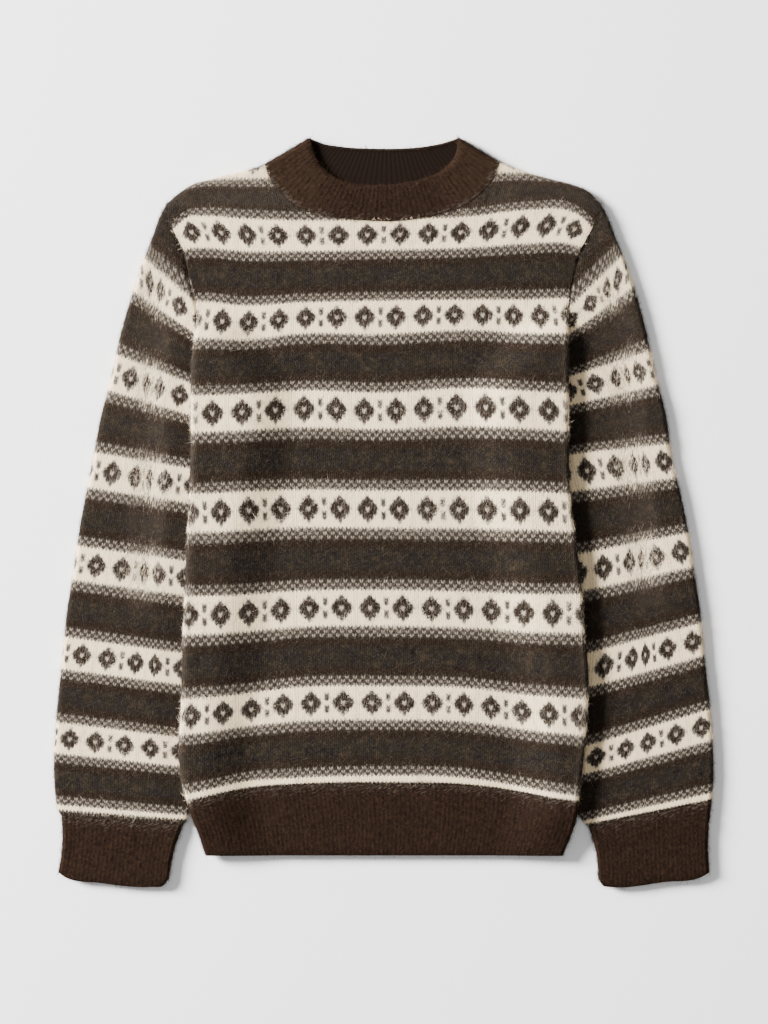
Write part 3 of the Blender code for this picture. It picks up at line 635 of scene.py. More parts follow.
# Loose fibres that the brushing raises. Real ones are 0.03 mm thick and far more; these are drawn
# thicker and fewer, so that they show. Most are short and straight, and a few long and curled.
FIBRE_THICK = 0.18
STRAIGHT, CURLED = ((1, 0),), ((0.5, 0.8), (0.5, 0))  # shares of the length, and how thin each ends
FIBRE_KINDS = (  # length, sideways bend and rise of each, in millimetres
    (2.2, 0, 1.5, STRAIGHT),
    (3.2, 0, 1.2, STRAIGHT),
    (4.0, 0, 0.8, STRAIGHT),
    (4.6, 0, 2.2, STRAIGHT),
    (5.4, 0, 0.9, STRAIGHT),
    (6.8, -2.3, 1.5, CURLED),
)
fibre_kinds = bpy.data.collections.new("fibre kinds")
for length, bend, lift, parts in FIBRE_KINDS:
    fibre_bmesh = bmesh.new()
    upright = Matrix.Rotation(pi / 2, 4, "Y")
    thick = FIBRE_THICK / 2 * METRES
    bmesh.ops.create_circle(fibre_bmesh, segments=3, radius=thick, matrix=upright)
    end = Vector((0, 0, 0))
    edges = fibre_bmesh.edges[:]
    for share, thinner in parts:
        step = Vector((length * share, bend * share * (1.6 - thinner), lift * share)) * METRES
        end = end + step
        grown = bmesh.ops.extrude_edge_only(fibre_bmesh, edges=edges)["geom"]
        verts = [part for part in grown if isinstance(part, bmesh.types.BMVert)]
        edges = [part for part in grown if isinstance(part, bmesh.types.BMEdge)]
        edges = [edge for edge in edges if all(vert in verts for vert in edge.verts)]
        bmesh.ops.translate(fibre_bmesh, verts=verts, vec=step)
        narrow = Vector((1, thinner, thinner))
        bmesh.ops.scale(fibre_bmesh, verts=verts, vec=narrow, space=Matrix.Translation(-end))
    bmesh.ops.remove_doubles(fibre_bmesh, verts=verts, dist=0.001 * METRES)
    bmesh.ops.recalc_face_normals(fibre_bmesh, faces=fibre_bmesh.faces)
    fibre_mesh = bpy.data.meshes.new("fibre")
    fibre_bmesh.to_mesh(fibre_mesh)
    fibre_bmesh.free()
    fibre_mesh.shade_smooth()
    fibre_kinds.objects.link(bpy.data.objects.new("fibre", fibre_mesh))

# Against the light more fibres show along an outline and over the seams at the pieces' upper ends,
# so this many times more are drawn there, and longer ones along the outline
MORE_ASIDE, MORE_AT_END, LONGER_ASIDE = 4, 1.2, 0.35
END_FROM = 0.93  # share of a piece's length

brushing = bpy.data.node_groups.new("brushing", "GeometryNodeTree")
brushing.interface.new_socket("Cloth", in_out="INPUT", socket_type="NodeSocketGeometry")
brushing.interface.new_socket("Fibres", in_out="INPUT", socket_type="NodeSocketFloat")
brushing.interface.new_socket("Seed", in_out="INPUT", socket_type="NodeSocketInt")
brushing.interface.new_socket("Fibres", in_out="OUTPUT", socket_type="NodeSocketGeometry")
given = brushing.nodes.new("NodeGroupInput").outputs
outside = add(brushing, "GeometryNodeInputNamedAttribute", {0: "outside"})
normal = add(brushing, "GeometryNodeInputNormal")
aside = add(brushing, "ShaderNodeSeparateXYZ", {0: normal}, 2)
aside = add(brushing, "ShaderNodeMath", {0: aside}, operation="ABSOLUTE")
aside = add(brushing, "ShaderNodeMath", {0: 1, 1: aside}, operation="SUBTRACT")
more = add(brushing, "ShaderNodeMath", {0: aside, 1: MORE_ASIDE, 2: 1}, operation="MULTIPLY_ADD")
up = add(brushing, "GeometryNodeInputNamedAttribute", {0: "up"})
at_end = add(brushing, "ShaderNodeMapRange", {0: up, 1: END_FROM, 2: 1, 4: MORE_AT_END})
more = add(brushing, "ShaderNodeMath", {0: more, 1: at_end}, operation="ADD")
density = add(brushing, "ShaderNodeMath", {0: outside, 1: given["Fibres"]}, operation="MULTIPLY")
density = add(brushing, "ShaderNodeMath", {0: density, 1: more}, operation="MULTIPLY")
roots = {"Mesh": given["Cloth"], "Density": density, "Seed": given["Seed"]}
roots = add(brushing, "GeometryNodeDistributePointsOnFaces", roots).node.outputs
swing = {"Min": (0, 0, 0), "Max": (0, 0, 2 * pi), "Seed": given["Seed"]}
swing = add(brushing, "FunctionNodeRandomValue", swing, data_type="FLOAT_VECTOR")
swing = {0: roots["Rotation"], 1: add(brushing, "FunctionNodeEulerToRotation", {0: swing})}
facing_out = add(brushing, "FunctionNodeRotateRotation", swing, rotation_space="LOCAL")
kind = {4: 0, 5: len(FIBRE_KINDS) - 1, "Seed": 7}
kind = add(brushing, "FunctionNodeRandomValue", kind, 2, data_type="INT")
size = {2: 0.6, 3: 1.3, "Seed": 11}
size = add(brushing, "FunctionNodeRandomValue", size, 1, data_type="FLOAT")
aside = add(brushing, "ShaderNodeSeparateXYZ", {0: roots["Normal"]}, 2)
aside = add(brushing, "ShaderNodeMath", {0: aside}, operation="ABSOLUTE")
longer = {0: aside, 1: -LONGER_ASIDE, 2: 1 + LONGER_ASIDE}
longer = add(brushing, "ShaderNodeMath", longer, operation="MULTIPLY_ADD")
size = add(brushing, "ShaderNodeMath", {0: size, 1: longer}, operation="MULTIPLY")
kinds = add(brushing, "GeometryNodeCollectionInfo", {0: fibre_kinds, 1: True})
strands = {0: roots["Points"], 2: kinds, 3: True, 4: kind, 5: facing_out, 6: size}
strands = add(brushing, "GeometryNodeInstanceOnPoints", strands)
# Each fibre has a shade of its own
shade = {2: 0.0, 3: 1.0, "Seed": 13}
shade = add(brushing, "FunctionNodeRandomValue", shade, 1, data_type="FLOAT")
strands = {0: strands, 2: "shade", 3: shade}
stored = {"domain": "INSTANCE", "data_type": "FLOAT"}
strands = add(brushing, "GeometryNodeStoreNamedAttribute", strands, **stored)
strands = add(brushing, "GeometryNodeRealizeInstances", {0: strands})
# and none goes through the table
position = add(brushing, "GeometryNodeInputPosition")
place = add(brushing, "ShaderNodeSeparateXYZ", {0: position}).node.outputs
above_table = add(brushing, "ShaderNodeMath", {0: place[2], 1: 0.0}, operation="MAXIMUM")
place = add(brushing, "ShaderNodeCombineXYZ", {0: place[0], 1: place[1], 2: above_table})
strands = add(brushing, "GeometryNodeSetPosition", {0: strands, 2: place})
add(brushing, "NodeGroupOutput", {0: strands})


def brushed(name, piece, fibres, seed, material):
    """Raises loose fibres on a piece's outside, so many to a square metre, as their own mesh."""
    fuzz = bpy.data.objects.new(name, piece.data)
    bpy.context.scene.collection.objects.link(fuzz)
    modifier = fuzz.modifiers.new("brushing", "NODES")
    modifier.node_group = brushing
    sockets = [socket for socket in brushing.interface.items_tree if socket.in_out == "INPUT"]
    modifier[sockets[1].identifier] = float(fibres)
    modifier[sockets[2].identifier] = seed
    depsgraph = bpy.context.evaluated_depsgraph_get()
    raised = bpy.data.meshes.new_from_object(fuzz.evaluated_get(depsgraph), depsgraph=depsgraph)
    fuzz.modifiers.clear()
    fuzz.data = raised
    raised.name = name
    raised.materials.clear()
    raised.materials.append(material)
    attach(fuzz, "root")
    return fuzz


def paint_wear_and_highlight(piece, wear_and_highlight_share):
    """Stores how far the pattern is lightened and blurred at each place on a piece, from 0 to 1: by
    wear, and on some pieces by a painted highlight.
    """
    places = np.array([vert.co / METRES for vert in piece.data.vertices]).T
    wear_and_highlight = piece.data.attributes.new("wear_and_highlight", "FLOAT", "POINT")
    wear_and_highlight.data.foreach_set("value", wear_and_highlight_share(*places))


# Each loose fibre has the colour of the stitch that it comes from, from dark to light by its
# shade, so the fuzz looks speckled. Fibres are a little smoother than the knit.
LOOSE_GREY = "#524840"

banded_fibre, tree, shader = wool("loose wool fibres in bands", 0.8)
stitches = add(tree, "ShaderNodeAttribute", output="Vector", attribute_name="Stitches")
cream = add(tree, "ShaderNodeGroup", {0: stitches}, "Cream", node_tree=chart)
shade = add(tree, "ShaderNodeAttribute", output="Fac", attribute_name="shade")
dark, light = (
    add(tree, "ShaderNodeMix", {0: shade, 6: low, 7: high}, 2, data_type="RGBA")
    for low, high in (
        (hex_colour(SOOT), hex_colour(LOOSE_GREY)),
        (hex_colour(CREAM_HAZE), hex_colour(CREAM)),
    )
)
colour = add(tree, "ShaderNodeMix", {0: cream, 6: dark, 7: light}, 2, data_type="RGBA")
tree.links.new(colour, shader.inputs["Base Color"])

FRONT_FACES = 215, 215  # across and up, about 2 mm by 3 mm each
FRONT_FIBRES = 175000  # to a square metre
# width of the painted highlight along the side folds, in millimetres
SIDE_HIGHLIGHT_WIDE = 6

front_cloth = panel_cloth(FRONT_NECKLINE, 1)
front = knitted("sweater_front", *FRONT_FACES, front_cloth, "banded_knit", rim=WALL)
front.data.materials.append(banded_knit)


def front_wear_and_highlight(x, y, z):
    """Painted highlight: the side folds, where the body lies on the sleeves, and the folds over the
    shoulders are painted lighter where the light catches them.
    """
    inside = np.where(x < 0, body_left(y), body_right(y)) - np.abs(x)
    side = 0.7 * np.exp(-((inside / SIDE_HIGHLIGHT_WIDE) ** 2)) * (y < UNDERARM_FLAT)
    return np.maximum(side, 0.28 * ease((y - 296) / 14))


paint_wear_and_highlight(front, front_wear_and_highlight)
brushed("fuzz_front", front, FRONT_FIBRES, 1, banded_fibre)
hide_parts("front")

# The back panel, knitted and brushed like the front. Its neckline is higher, and the sweater lies
# on it, so its cloth is pressed flat.

BACK_FACES = 140, 160  # fewer than the front's, because it lies out of sight
BACK_FIBRES = 30000  # to a square metre
BACK_NECKLINE = (
    (-118.7, 347.4),
    (-108.0, 337.0),
    (-90.0, 330.0),
    (-60.0, 326.5),
    (-20.0, 325.0),
    (20.0, 325.0),
    (60.0, 327.0),
    (90.0, 332.0),
    (106.0, 340.0),
    (115.4, 349.7),
)
back_cloth = panel_cloth(BACK_NECKLINE, -1)
back = knitted("sweater_back", *BACK_FACES, back_cloth, "banded_knit", flipped=True, rim=WALL)
back.data.materials.append(banded_knit)
brushed("fuzz_back", back, BACK_FIBRES, 2, banded_fibre)
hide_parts("back")


# The hem ribs, front and back. A knitter casts them on in brown wool, works a knit and a purl
# stitch in turn, and knits the panel on from them. They draw in a little below the panels.

HEM_RIBS = 88
RIB_RAISED = 0.16  # a knit rib above the purl column beside it
RIB_COURSE = 3.6  # height of a course in the ribs


def ribbed(share, ribs, facing):
    """How far the ribs stand out. Those of a lower layer are sunk in, because it lies flat."""
    return facing * RIB_RAISED * (0.5 - 0.5 * np.cos(2 * pi * ribs * share))


def hem_cloth(facing):
    """Where the hem rib's cloth lies, below the front, facing 1, or the back, facing -1."""

    def cloth(across, up, depth):
        stand = ribbed(across, HEM_RIBS, facing) if depth == 0 else 0
        v = up
        for _ in range(3):
            height = mix(HEM_SIDES[0][0], HEM_SIDES[-1][0], v)
            left, right = -hem_left(height), hem_right(height)
            place, out, wider = turned(across, right - left, 0, 0, depth - stand)
            u = place / (right - left)
            low = HEM_SIDES[0][0]
            high = hem_seam(mix(HEM_SEAM[0][0], HEM_SEAM[-1][0], u)) - SEAM / 2
            climb, rise, longer = turned(up, high - low, EDGE_SLOPE, SEAM_SLOPE, depth)
            v = climb / (high - low)
        x, y = mix(left, right, u), mix(low, high, v)
        middle = FOLD + side_raised(x, y) + (SEAM if facing > 0 else 0)
        z = middle + facing * (FOLD - depth + stand) * out * rise
        return (x, y, z), (HEM_RIBS * across, up * (high - low) / RIB_COURSE)

    return cloth


# The same brushed wool in one brown, worked in rib: matt, streaked along the stitches, lighter
# where it is worn. Its inside isn't brushed and lies in shadow, so it is darker.
RIB_DARK, RIB_LIGHT, RIB_WORN, RIB_INSIDE = "#0f0906", "#2a1c14", "#3a2b20", "#130c08"
TUFTS = (2.2, 0.8, 0)  # to a rib and to a course, so they are about 2 mm by 4.5 mm

rib_knit, tree, shader = wool("brushed wool 1x1 rib", 0.95)
fibres, fibre = streaked(tree, ((0.4, 1.0), (-0.6, 5.0)))
stitches = add(tree, "ShaderNodeUVMap", uv_map="Stitches")
along = add(tree, "ShaderNodeVectorMath", {0: stitches, 1: TUFTS}, operation="MULTIPLY")
tufts = {"Vector": along, "Scale": 1.0, "Detail": 4, "Roughness": 0.7}
tufts = add(tree, "ShaderNodeTexNoise", tufts)
streak = add(tree, "ShaderNodeMath", {0: tufts, 1: fibre}, operation="ADD")
streak = add(tree, "ShaderNodeMapRange", {0: streak, 1: 0.8, 2: 1.3})
wear_and_highlight_share = add(tree, "ShaderNodeAttribute", output="Fac", attribute_name="wear_and_highlight")
# A few cream fibres stray over the seam, at the piece's upper end
strewn = {0: fibres[0].node.outputs["Color"], 1: (0, 1, 0)}
strewn = add(tree, "ShaderNodeVectorMath", strewn, "Value", operation="DOT_PRODUCT")
up = add(tree, "ShaderNodeAttribute", output="Fac", attribute_name="up")
near_seam = add(tree, "ShaderNodeMath", {0: up, 1: strewn}, operation="ADD")
near_seam = add(tree, "ShaderNodeMapRange", {0: near_seam, 1: 1.45, 2: 1.65, 4: 0.06})
inside = add(tree, "ShaderNodeAttribute", output="Fac", attribute_name="outside")
inside = add(tree, "ShaderNodeMath", {0: 1, 1: inside}, operation="SUBTRACT")
brown = hex_colour(RIB_DARK)
for share, over in (
    (streak, RIB_LIGHT),
    (wear_and_highlight_share, RIB_WORN),
    (near_seam, CREAM_HAZE),
    (inside, RIB_INSIDE),
):
    brown = {0: share, 6: brown, 7: hex_colour(over)}
    brown = add(tree, "ShaderNodeMix", brown, 2, data_type="RGBA")
tree.links.new(brown, shader.inputs["Base Color"])
bump = add(tree, "ShaderNodeBump", {"Height": fibre, "Strength": 0.5, "Distance": 0.8 * METRES})
tree.links.new(bump, shader.inputs["Normal"])

# Loose brown fibres, some lighter than the rib below them, so that its edges look soft
RIB_FIBRE_DARK, RIB_FIBRE_LIGHT = "#150e0a", "#42301f"

rib_fibre, tree, shader = wool("loose wool fibres of the ribs", 0.8)
shade = add(tree, "ShaderNodeAttribute", output="Fac", attribute_name="shade")
brown = {0: shade, 6: hex_colour(RIB_FIBRE_DARK), 7: hex_colour(RIB_FIBRE_LIGHT)}
brown = add(tree, "ShaderNodeMix", brown, 2, data_type="RGBA")
tree.links.new(brown, shader.inputs["Base Color"])

RIB_FACES = 6  # across each rib of the hem and the cuffs
HEM_ROWS = 14
for side, facing, fibres_raised in (("front", 1, 220000), ("back", -1, 40000)):
    faces = RIB_FACES * HEM_RIBS, HEM_ROWS
    turned_over = facing < 0
    hem = knitted(
        f"hem_{side}", *faces, hem_cloth(facing), "brown_rib", flipped=turned_over, lined=WALL
    )
    hem.data.materials.append(rib_knit)
    brushed(f"fuzz_hem_{side}", hem, fibres_raised, 3 + facing, rib_fibre)
    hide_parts(f"hem_rib_{side}")


# The sleeves. Each is knitted flat in the same bands, sewn to a tube and set into the armhole. It
# lies flat under the body's edge, with a soft lengthwise crease where the arm would be.

UNDERARM = 192
CREASE_DEEP, CREASE_WIDE = 1.6, 14
SEAM_DEEP, SEAM_WIDE, SEAM_DROP = 2.6, 17, 6  # the sleeve sinks beside the armhole's seam
SHOULDER_FLAT, SHOULDER_SUNK = 292, 240
AT_SHOULDER = 0.25  # the share of SEAM_DEEP at the shoulder
SIDE_DEEP, SIDE_WIDE, SIDE_STARTS = 2.2, 30, 60  # and beside the body's side, which presses on it

# From the cuff's seam up: the outer fold's X and Y, and the inner fold's. X is counted from the
# middle of the sweater.
RIGHT_SLEEVE = (
    (322.0, -303.0, 200.5, -312.5),
    (326.0, -296.0, 196.0, -306.0),
    (328.0, -283.0, 194.0, -294.0),
    (329.5, -256.0, 192.0, -271.0),
    (328.0, -223.0, 189.0, -240.0),
    (325.5, -188.0, 185.5, -206.0),
    (320.5, -143.0, 182.0, -162.0),
    (316.5, -100.0, 178.5, -120.0),
    (309.5, -58.0, 173.5, -78.0),
    (303.5, -15.0, 168.5, -35.0),
    (297.0, 19.0, 163.5, -1.0),
    (289.5, 57.0, 156.5, 36.0),
    (282.5, 95.0, 150.5, 72.0),
    (272.5, 132.0, 147.5, 104.0),
    (266.5, 162.0, 153.5, 130.0),
    (259.5, 190.0, 166.0, 147.0),
    (250.5, 219.0, 178.0, 160.0),
    (241.5, 247.0, 183.5, 170.0),
    (232.0, 272.0, 186.4, 178.0),
    (223.5, 295.0, 187.5, 185.5),
    (216.5, 308.5, 187.0, 192.0),
)
LEFT_SLEEVE = (
    (328.0, -288.5, 205.5, -314.0),
    (328.8, -281.0, 198.5, -307.5),
    (329.5, -268.0, 192.0, -296.0),
    (329.5, -246.0, 188.5, -274.0),
    (328.5, -223.0, 186.0, -244.0),
    (325.5, -188.0, 183.0, -208.0),
    (321.0, -148.0, 180.0, -164.0),
    (317.0, -105.0, 177.0, -122.0),
    (311.0, -63.0, 172.5, -80.0),
    (304.5, -21.0, 167.5, -37.0),
    (297.5, 15.0, 162.5, -1.0),
    (288.5, 52.0, 156.5, 36.0),
    (282.0, 97.0, 150.0, 72.0),
    (273.0, 132.0, 145.5, 104.0),
    (266.5, 162.0, 151.5, 130.0),
    (259.5, 192.0, 162.0, 147.0),
    (252.0, 219.0, 173.0, 160.0),
    (242.5, 247.0, 178.0, 170.0),
    (232.5, 272.0, 182.6, 178.0),
    (223.5, 295.0, 184.6, 185.5),
    (216.5, 308.5, 184.7, 192.0),
)

# Numbered courses across a sleeve: X and Y near its outer fold, and X and Y near its inner one
RIGHT_COURSES = (
    (-147, 321.7, -303, 201.5, -312.5),
    (-145.65, 322, -297.2, 201.5, -306.4),
    (-144, 323.5, -293.4, 196.5, -303.9),
    (-120, 325.5, -211, 203.5, -226),
    (-96, 316.5, -126, 201.5, -142),
    (-72, 305.5, -35, 197.5, -50),
    (-48, 287.5, 58, 196.5, 43),
    (-24, 267.5, 156, 192.5, 127.5),
    (0, 239.5, 252, 189.5, 209),
    (24, 239.5, 418, 189.5, 375),
)
LEFT_COURSES = (
    (-147, 328.5, -287.6, 205.1, -313.6),
    (-145.65, 328.5, -286.4, 205.5, -310.6),
    (-144, 328.5, -281.3, 205.5, -308),
    (-120, 325.5, -198, 211.5, -232),
    (-96, 317.5, -112, 211.5, -140),
    (-72, 303.5, -22, 200.5, -42),
    (-48, 287.5, 67, 187.5, 57),
    (-24, 265.5, 159, 185.5, 134.5),
    (0, 233.5, 249, 185.5, 202),
    (24, 233.5, 415, 185.5, 374),
)

# By height: X of the first dots inside the outer fold, the stitches that the lengthwise crease
# hides, and X of the crease
RIGHT_WALES = (
    (-233, 329, 0, 240),
    (-147, 316.5, 2.7, 233.5),
    (-57, 302, 5.6, 235.5),
    (37, 286, 7.7, 236),
    (130, 267.5, 7.9, 232.5),
    (225, 240.5, 7.3, 228.5),
)
LEFT_WALES = (
    (-230, 333.5, 1.3, 255),
    (-140, 324.5, 6.1, 258),
    (-47, 312.5, 8.7, 256.5),
    (45, 296, 8.7, 256),
    (135, 269, 9.9, 242.5),
    (225, 242.5, 7.4, 227.5),
)
SLEEVE_STITCH = 3.7
CREASE_TAKES = 4  # the width in which the crease hides its stitches

# The crease down the middle of a sleeve: heights on Y, and X on the right and left sleeve
CREASE = (
    (-110, 246, 267),
    (-61, 240.5, 261.5),
    (32, 234.5, 250.5),
    (125, 233.5, 241.5),
    (227, 228.5, 228.5),
)
CREASE_FADES, CREASE_ENDS, CREASE_FADES_OUT = 50, 250, 40


def line_shares(points):
    """How far along a line each of its points is, from 0 to 1."""
    steps = np.linalg.norm(np.diff(np.array(points, float), axis=0), axis=1)
    run = np.concatenate(([0], np.cumsum(steps)))
    return run / run[-1]


def drawn(points):
    """A smooth line through points, to be read by the share of the way along it."""
    marks = line_shares(points)
    across = curve(list(zip(marks, [point[0] for point in points])))
    up = curve(list(zip(marks, [point[1] for point in points])))
    return lambda share: (across(share), up(share))


def evenly(points):
    """Smooth lines through the X and the Y of points that are spread evenly over the way."""
    steps = len(points) - 1
    return [curve([(n / steps, point[k]) for n, point in enumerate(points)]) for k in (0, 1)]


def creased(crease, x, y):
    """How far a place on a sleeve is in its lengthwise crease, from 0 to 1."""
    off = (np.abs(x) - crease(y)) / CREASE_WIDE
    starts = ease((y - CREASE[0][0]) / CREASE_FADES)
    return np.exp(-off * off) * starts * ease((CREASE_ENDS - y) / CREASE_FADES_OUT)


def sleeve_cloth(side, sections, column, courses, wales, crease):
    """Where a sleeve's cloth lies. side is -1 for the wearer's right."""
    above_underarm = [row for row in reversed(BODY_SIDES) if row[0] >= UNDERARM]
    armhole = [(side * (row[column] + SEAM / 2), row[0]) for row in above_underarm]
    outer = [(side * row[0], row[1]) for row in sections[:-1]] + [armhole[0]]
    inner = [(side * row[2], row[3]) for row in sections[:-1]] + [armhole[-1]]
    outer_x, outer_y = evenly(outer)
    inner_x, inner_y = evenly(inner)
    armhole_line = drawn(armhole)
    body_side = body_left if side < 0 else body_right
    first, hidden, fold_x = (curve([(row[0], row[k]) for row in wales]) for k in (1, 2, 3))

    def plan(u, v):
        bow_x, bow_y = armhole_line(u)
        bow = ease(4 * v - 3)
        x = mix(outer_x(v), inner_x(v), u) + bow * (bow_x - mix(armhole[0][0], armhole[-1][0], u))
        y = mix(outer_y(v), inner_y(v), u) + bow * (bow_y - mix(armhole[0][1], armhole[-1][1], u))
        return np.array((x, y))

    def stitches(x, y):
        lines = [
            mix(low, high, (x - first_x) / (last_x - first_x))
            for number, first_x, low, last_x, high in courses
        ]
        course = counted(lines, [row[0] for row in courses], y)
        wale = (first(y) - x) / SLEEVE_STITCH + 0.5
        wale = wale + hidden(y) / (1 + np.exp((x - fold_x(y)) / CREASE_TAKES))
        return wale, in_bands(course, 24)

    def cloth(across, up, depth):
        facing = np.where(across > 0.5, 1, -1)
        share = np.abs(across - 0.5) * 2
        u, v = share, up
        for _ in range(3):
            width = np.linalg.norm(plan(1, v) - plan(0, v), axis=0)
            place, out, wider = turned(share, width, 0, 0, depth)
            u = place / width
            length = np.linalg.norm(plan(u, 1) - plan(u, 0), axis=0)
            climb, rise, longer = turned(up, length, SEAM_SLOPE, SEAM_SLOPE, depth)
            v = climb / length
        x, y = plan(u, v)
        from_seam = (1 - v) * length
        pressed = SIDE_DEEP * (1 - ease((np.abs(x) - body_side(y)) / SIDE_WIDE))
        pressed = pressed * ease((UNDERARM - y) / SIDE_STARTS)
        sunk = CREASE_DEEP * creased(crease, x, y)
        below_shoulder = ease((SHOULDER_FLAT - y) / (SHOULDER_FLAT - SHOULDER_SUNK))
        at_seam = SEAM_DEEP * mix(AT_SHOULDER, 1, below_shoulder)
        at_seam = at_seam * np.exp(-((from_seam / SEAM_WIDE) ** 2)) * ease(from_seam / SEAM_DROP)
        sunk = sunk + np.maximum(at_seam, pressed) * out
        sunk = np.where(facing > 0, sunk, 0)
        z = FOLD - sunk + facing * (FOLD - depth) * out * rise
        return (x, y, z), stitches(np.abs(x) - wider, y + longer)

    return cloth


def sleeve_wear_and_highlight(x, y, z):
    """The crease is worn, and the upper arm's outer side, away from the body's edge, is painted
    lighter with painted light.
    """
    upper_arm = 0.13 * ease((y + 20) / 150) * ease((np.abs(x) - 195) / 30)
    return np.maximum(creased(crease, x, y), upper_arm) * (z > FOLD)


SLEEVE_FACES = 150, 200  # round and along, about 2 mm by 3 mm each
SLEEVE_FIBRES = 175000  # to a square metre
for wearers, side, sections, column, courses, wales in (
    ("right", -1, RIGHT_SLEEVE, 1, RIGHT_COURSES, RIGHT_WALES),
    ("left", 1, LEFT_SLEEVE, 2, LEFT_COURSES, LEFT_WALES),
):
    crease = curve([(row[0], row[column]) for row in CREASE])
    cloth = sleeve_cloth(side, sections, column, courses, wales, crease)
    turned_over = side > 0
    sleeve = knitted(
        f"arm_{wearers}", *SLEEVE_FACES, cloth, "banded_knit", tube=True, flipped=turned_over, rim=WALL
    )
    sleeve.data.materials.append(banded_knit)
    paint_wear_and_highlight(sleeve, sleeve_wear_and_highlight)
    seed = 6 + side
    brushed(f"fuzz_arm_{wearers}", sleeve, SLEEVE_FIBRES, seed, banded_fibre)
    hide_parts(f"sleeve_{wearers}")


# The cuffs, tubes of the same brown rib at the wrists. They are knitted on below the sleeves, with
# fewer stitches, and draw in half way down.

CUFF_RIBS = 28
CUFF_WAIST = 2.5  # how far a cuff's sides draw in half way down
RIGHT_CUFF_EDGE = (
    (325.0, -360.0),
    (317.5, -365.0),
    (283.5, -370.5),
    (231.5, -374.5),
    (220.5, -373.5),
    (215.0, -367.0),
)
LEFT_CUFF_EDGE = (
    (325.5, -360.0),
    (316.5, -365.0),
    (281.5, -369.5),
    (226.5, -374.5),
    (219.5, -373.5),
    (215.0, -367.0),
)


def cuff_cloth(side, seam, edge):
    """Where a cuff's cloth lies, between the sleeve's lowest section and the cuff's edge."""
    lower = drawn([(side * x, y) for x, y in edge])

    def plan(u, v):
        low_x, low_y = lower(u)
        top_x, top_y = side * mix(seam[0], seam[2], u), mix(seam[1], seam[3], u) - SEAM
        waist = CUFF_WAIST * np.sin(pi * v) * (1 - 2 * u) * -side
        return np.array((mix(low_x, top_x, v) + waist, mix(low_y, top_y, v)))

    def cloth(across, up, depth):
        facing = np.where(across > 0.5, 1, -1)
        share = np.abs(across - 0.5) * 2
        stand = ribbed(share, CUFF_RIBS, facing) if depth == 0 else 0
        u, v = share, up
        for _ in range(3):
            width = np.linalg.norm(plan(1, v) - plan(0, v), axis=0)
            place, out, wider = turned(share, width, 0, 0, depth - stand)
            u = place / width
            length = np.linalg.norm(plan(u, 1) - plan(u, 0), axis=0)
            climb, rise, longer = turned(up, length, EDGE_SLOPE, SEAM_SLOPE, depth)
            v = climb / length
        x, y = plan(u, v)
        z = FOLD + facing * (FOLD - depth + stand) * out * rise
        return (x, y, z), (2 * CUFF_RIBS * across, up * length / RIB_COURSE)

    return cloth


CUFF_FACES = 2 * RIB_FACES * CUFF_RIBS, 16  # round both layers, and up
CUFF_FIBRES = 200000  # to a square metre
for wearers, side, sections, edge in (
    ("right", -1, RIGHT_SLEEVE, RIGHT_CUFF_EDGE),
    ("left", 1, LEFT_SLEEVE, LEFT_CUFF_EDGE),
):
    cloth = cuff_cloth(side, sections[0], edge)
    turned_over = side > 0
    cuff = knitted(
        f"wrist_{wearers}", *CUFF_FACES, cloth, "brown_rib", tube=True, flipped=turned_over, lined=WALL
    )
    cuff.data.materials.append(rib_knit)
    brushed(f"fuzz_wrist_{wearers}", cuff, CUFF_FIBRES, 9 + side, rib_fibre)
    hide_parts(f"cuff_{wearers}")


# The neckband, a ring of brown rib a little thicker than the others. Its stitches are picked up
# round the neckline. Its front half lies on its back half, whose inner face shows above it.

NECK_FOLD = 4.8
RIB_WALL = 3.6
NECK_RIBS_FRONT, NECK_RIBS_BACK = 52, 44

# Upper edge of the band. Its two halves meet at the tips of both lines.
NECK_EDGE_FRONT = (
    (-73.6, 374.1),
    (-70.9, 363.3),
    (-64.5, 348.4),
    (-54.0, 337.8),
    (-40.0, 331.0),
    (-25.0, 327.5),
    (0.0, 326.5),
    (20.0, 328.5),
    (40.0, 333.0),
    (59.5, 342.0),
    (71.5, 356.3),
    (74.7, 374.1),
)
NECK_EDGE_BACK = (
    (-73.6, 374.1),
    (-61.3, 368.9),
    (-42.2, 365.7),
    (-10.3, 363.8),
    (16.5, 363.8),
    (40.4, 365.7),
    (58.0, 368.9),
    (74.7, 374.1),
)
seam_back = [(x, y + SEAM) for x, y in BACK_NECKLINE]
seam_back[0], seam_back[-1] = FRONT_NECKLINE[0], FRONT_NECKLINE[-1]
band_edges = (FRONT_NECKLINE, NECK_EDGE_FRONT, seam_back, NECK_EDGE_BACK)
band_lines = [drawn(edge) for edge in band_edges]
MEASURED = 20  # steps in which the length of a line round the band is measured


def band_plan(facing, u, v):
    """The band's flat outline: the front half where facing is 1, the back half where it is -1."""
    front_low, front_high, back_low, back_high = (np.array(line(u)) for line in band_lines)
    return np.where(facing > 0, mix(front_low, front_high, v), mix(back_low, back_high, v))


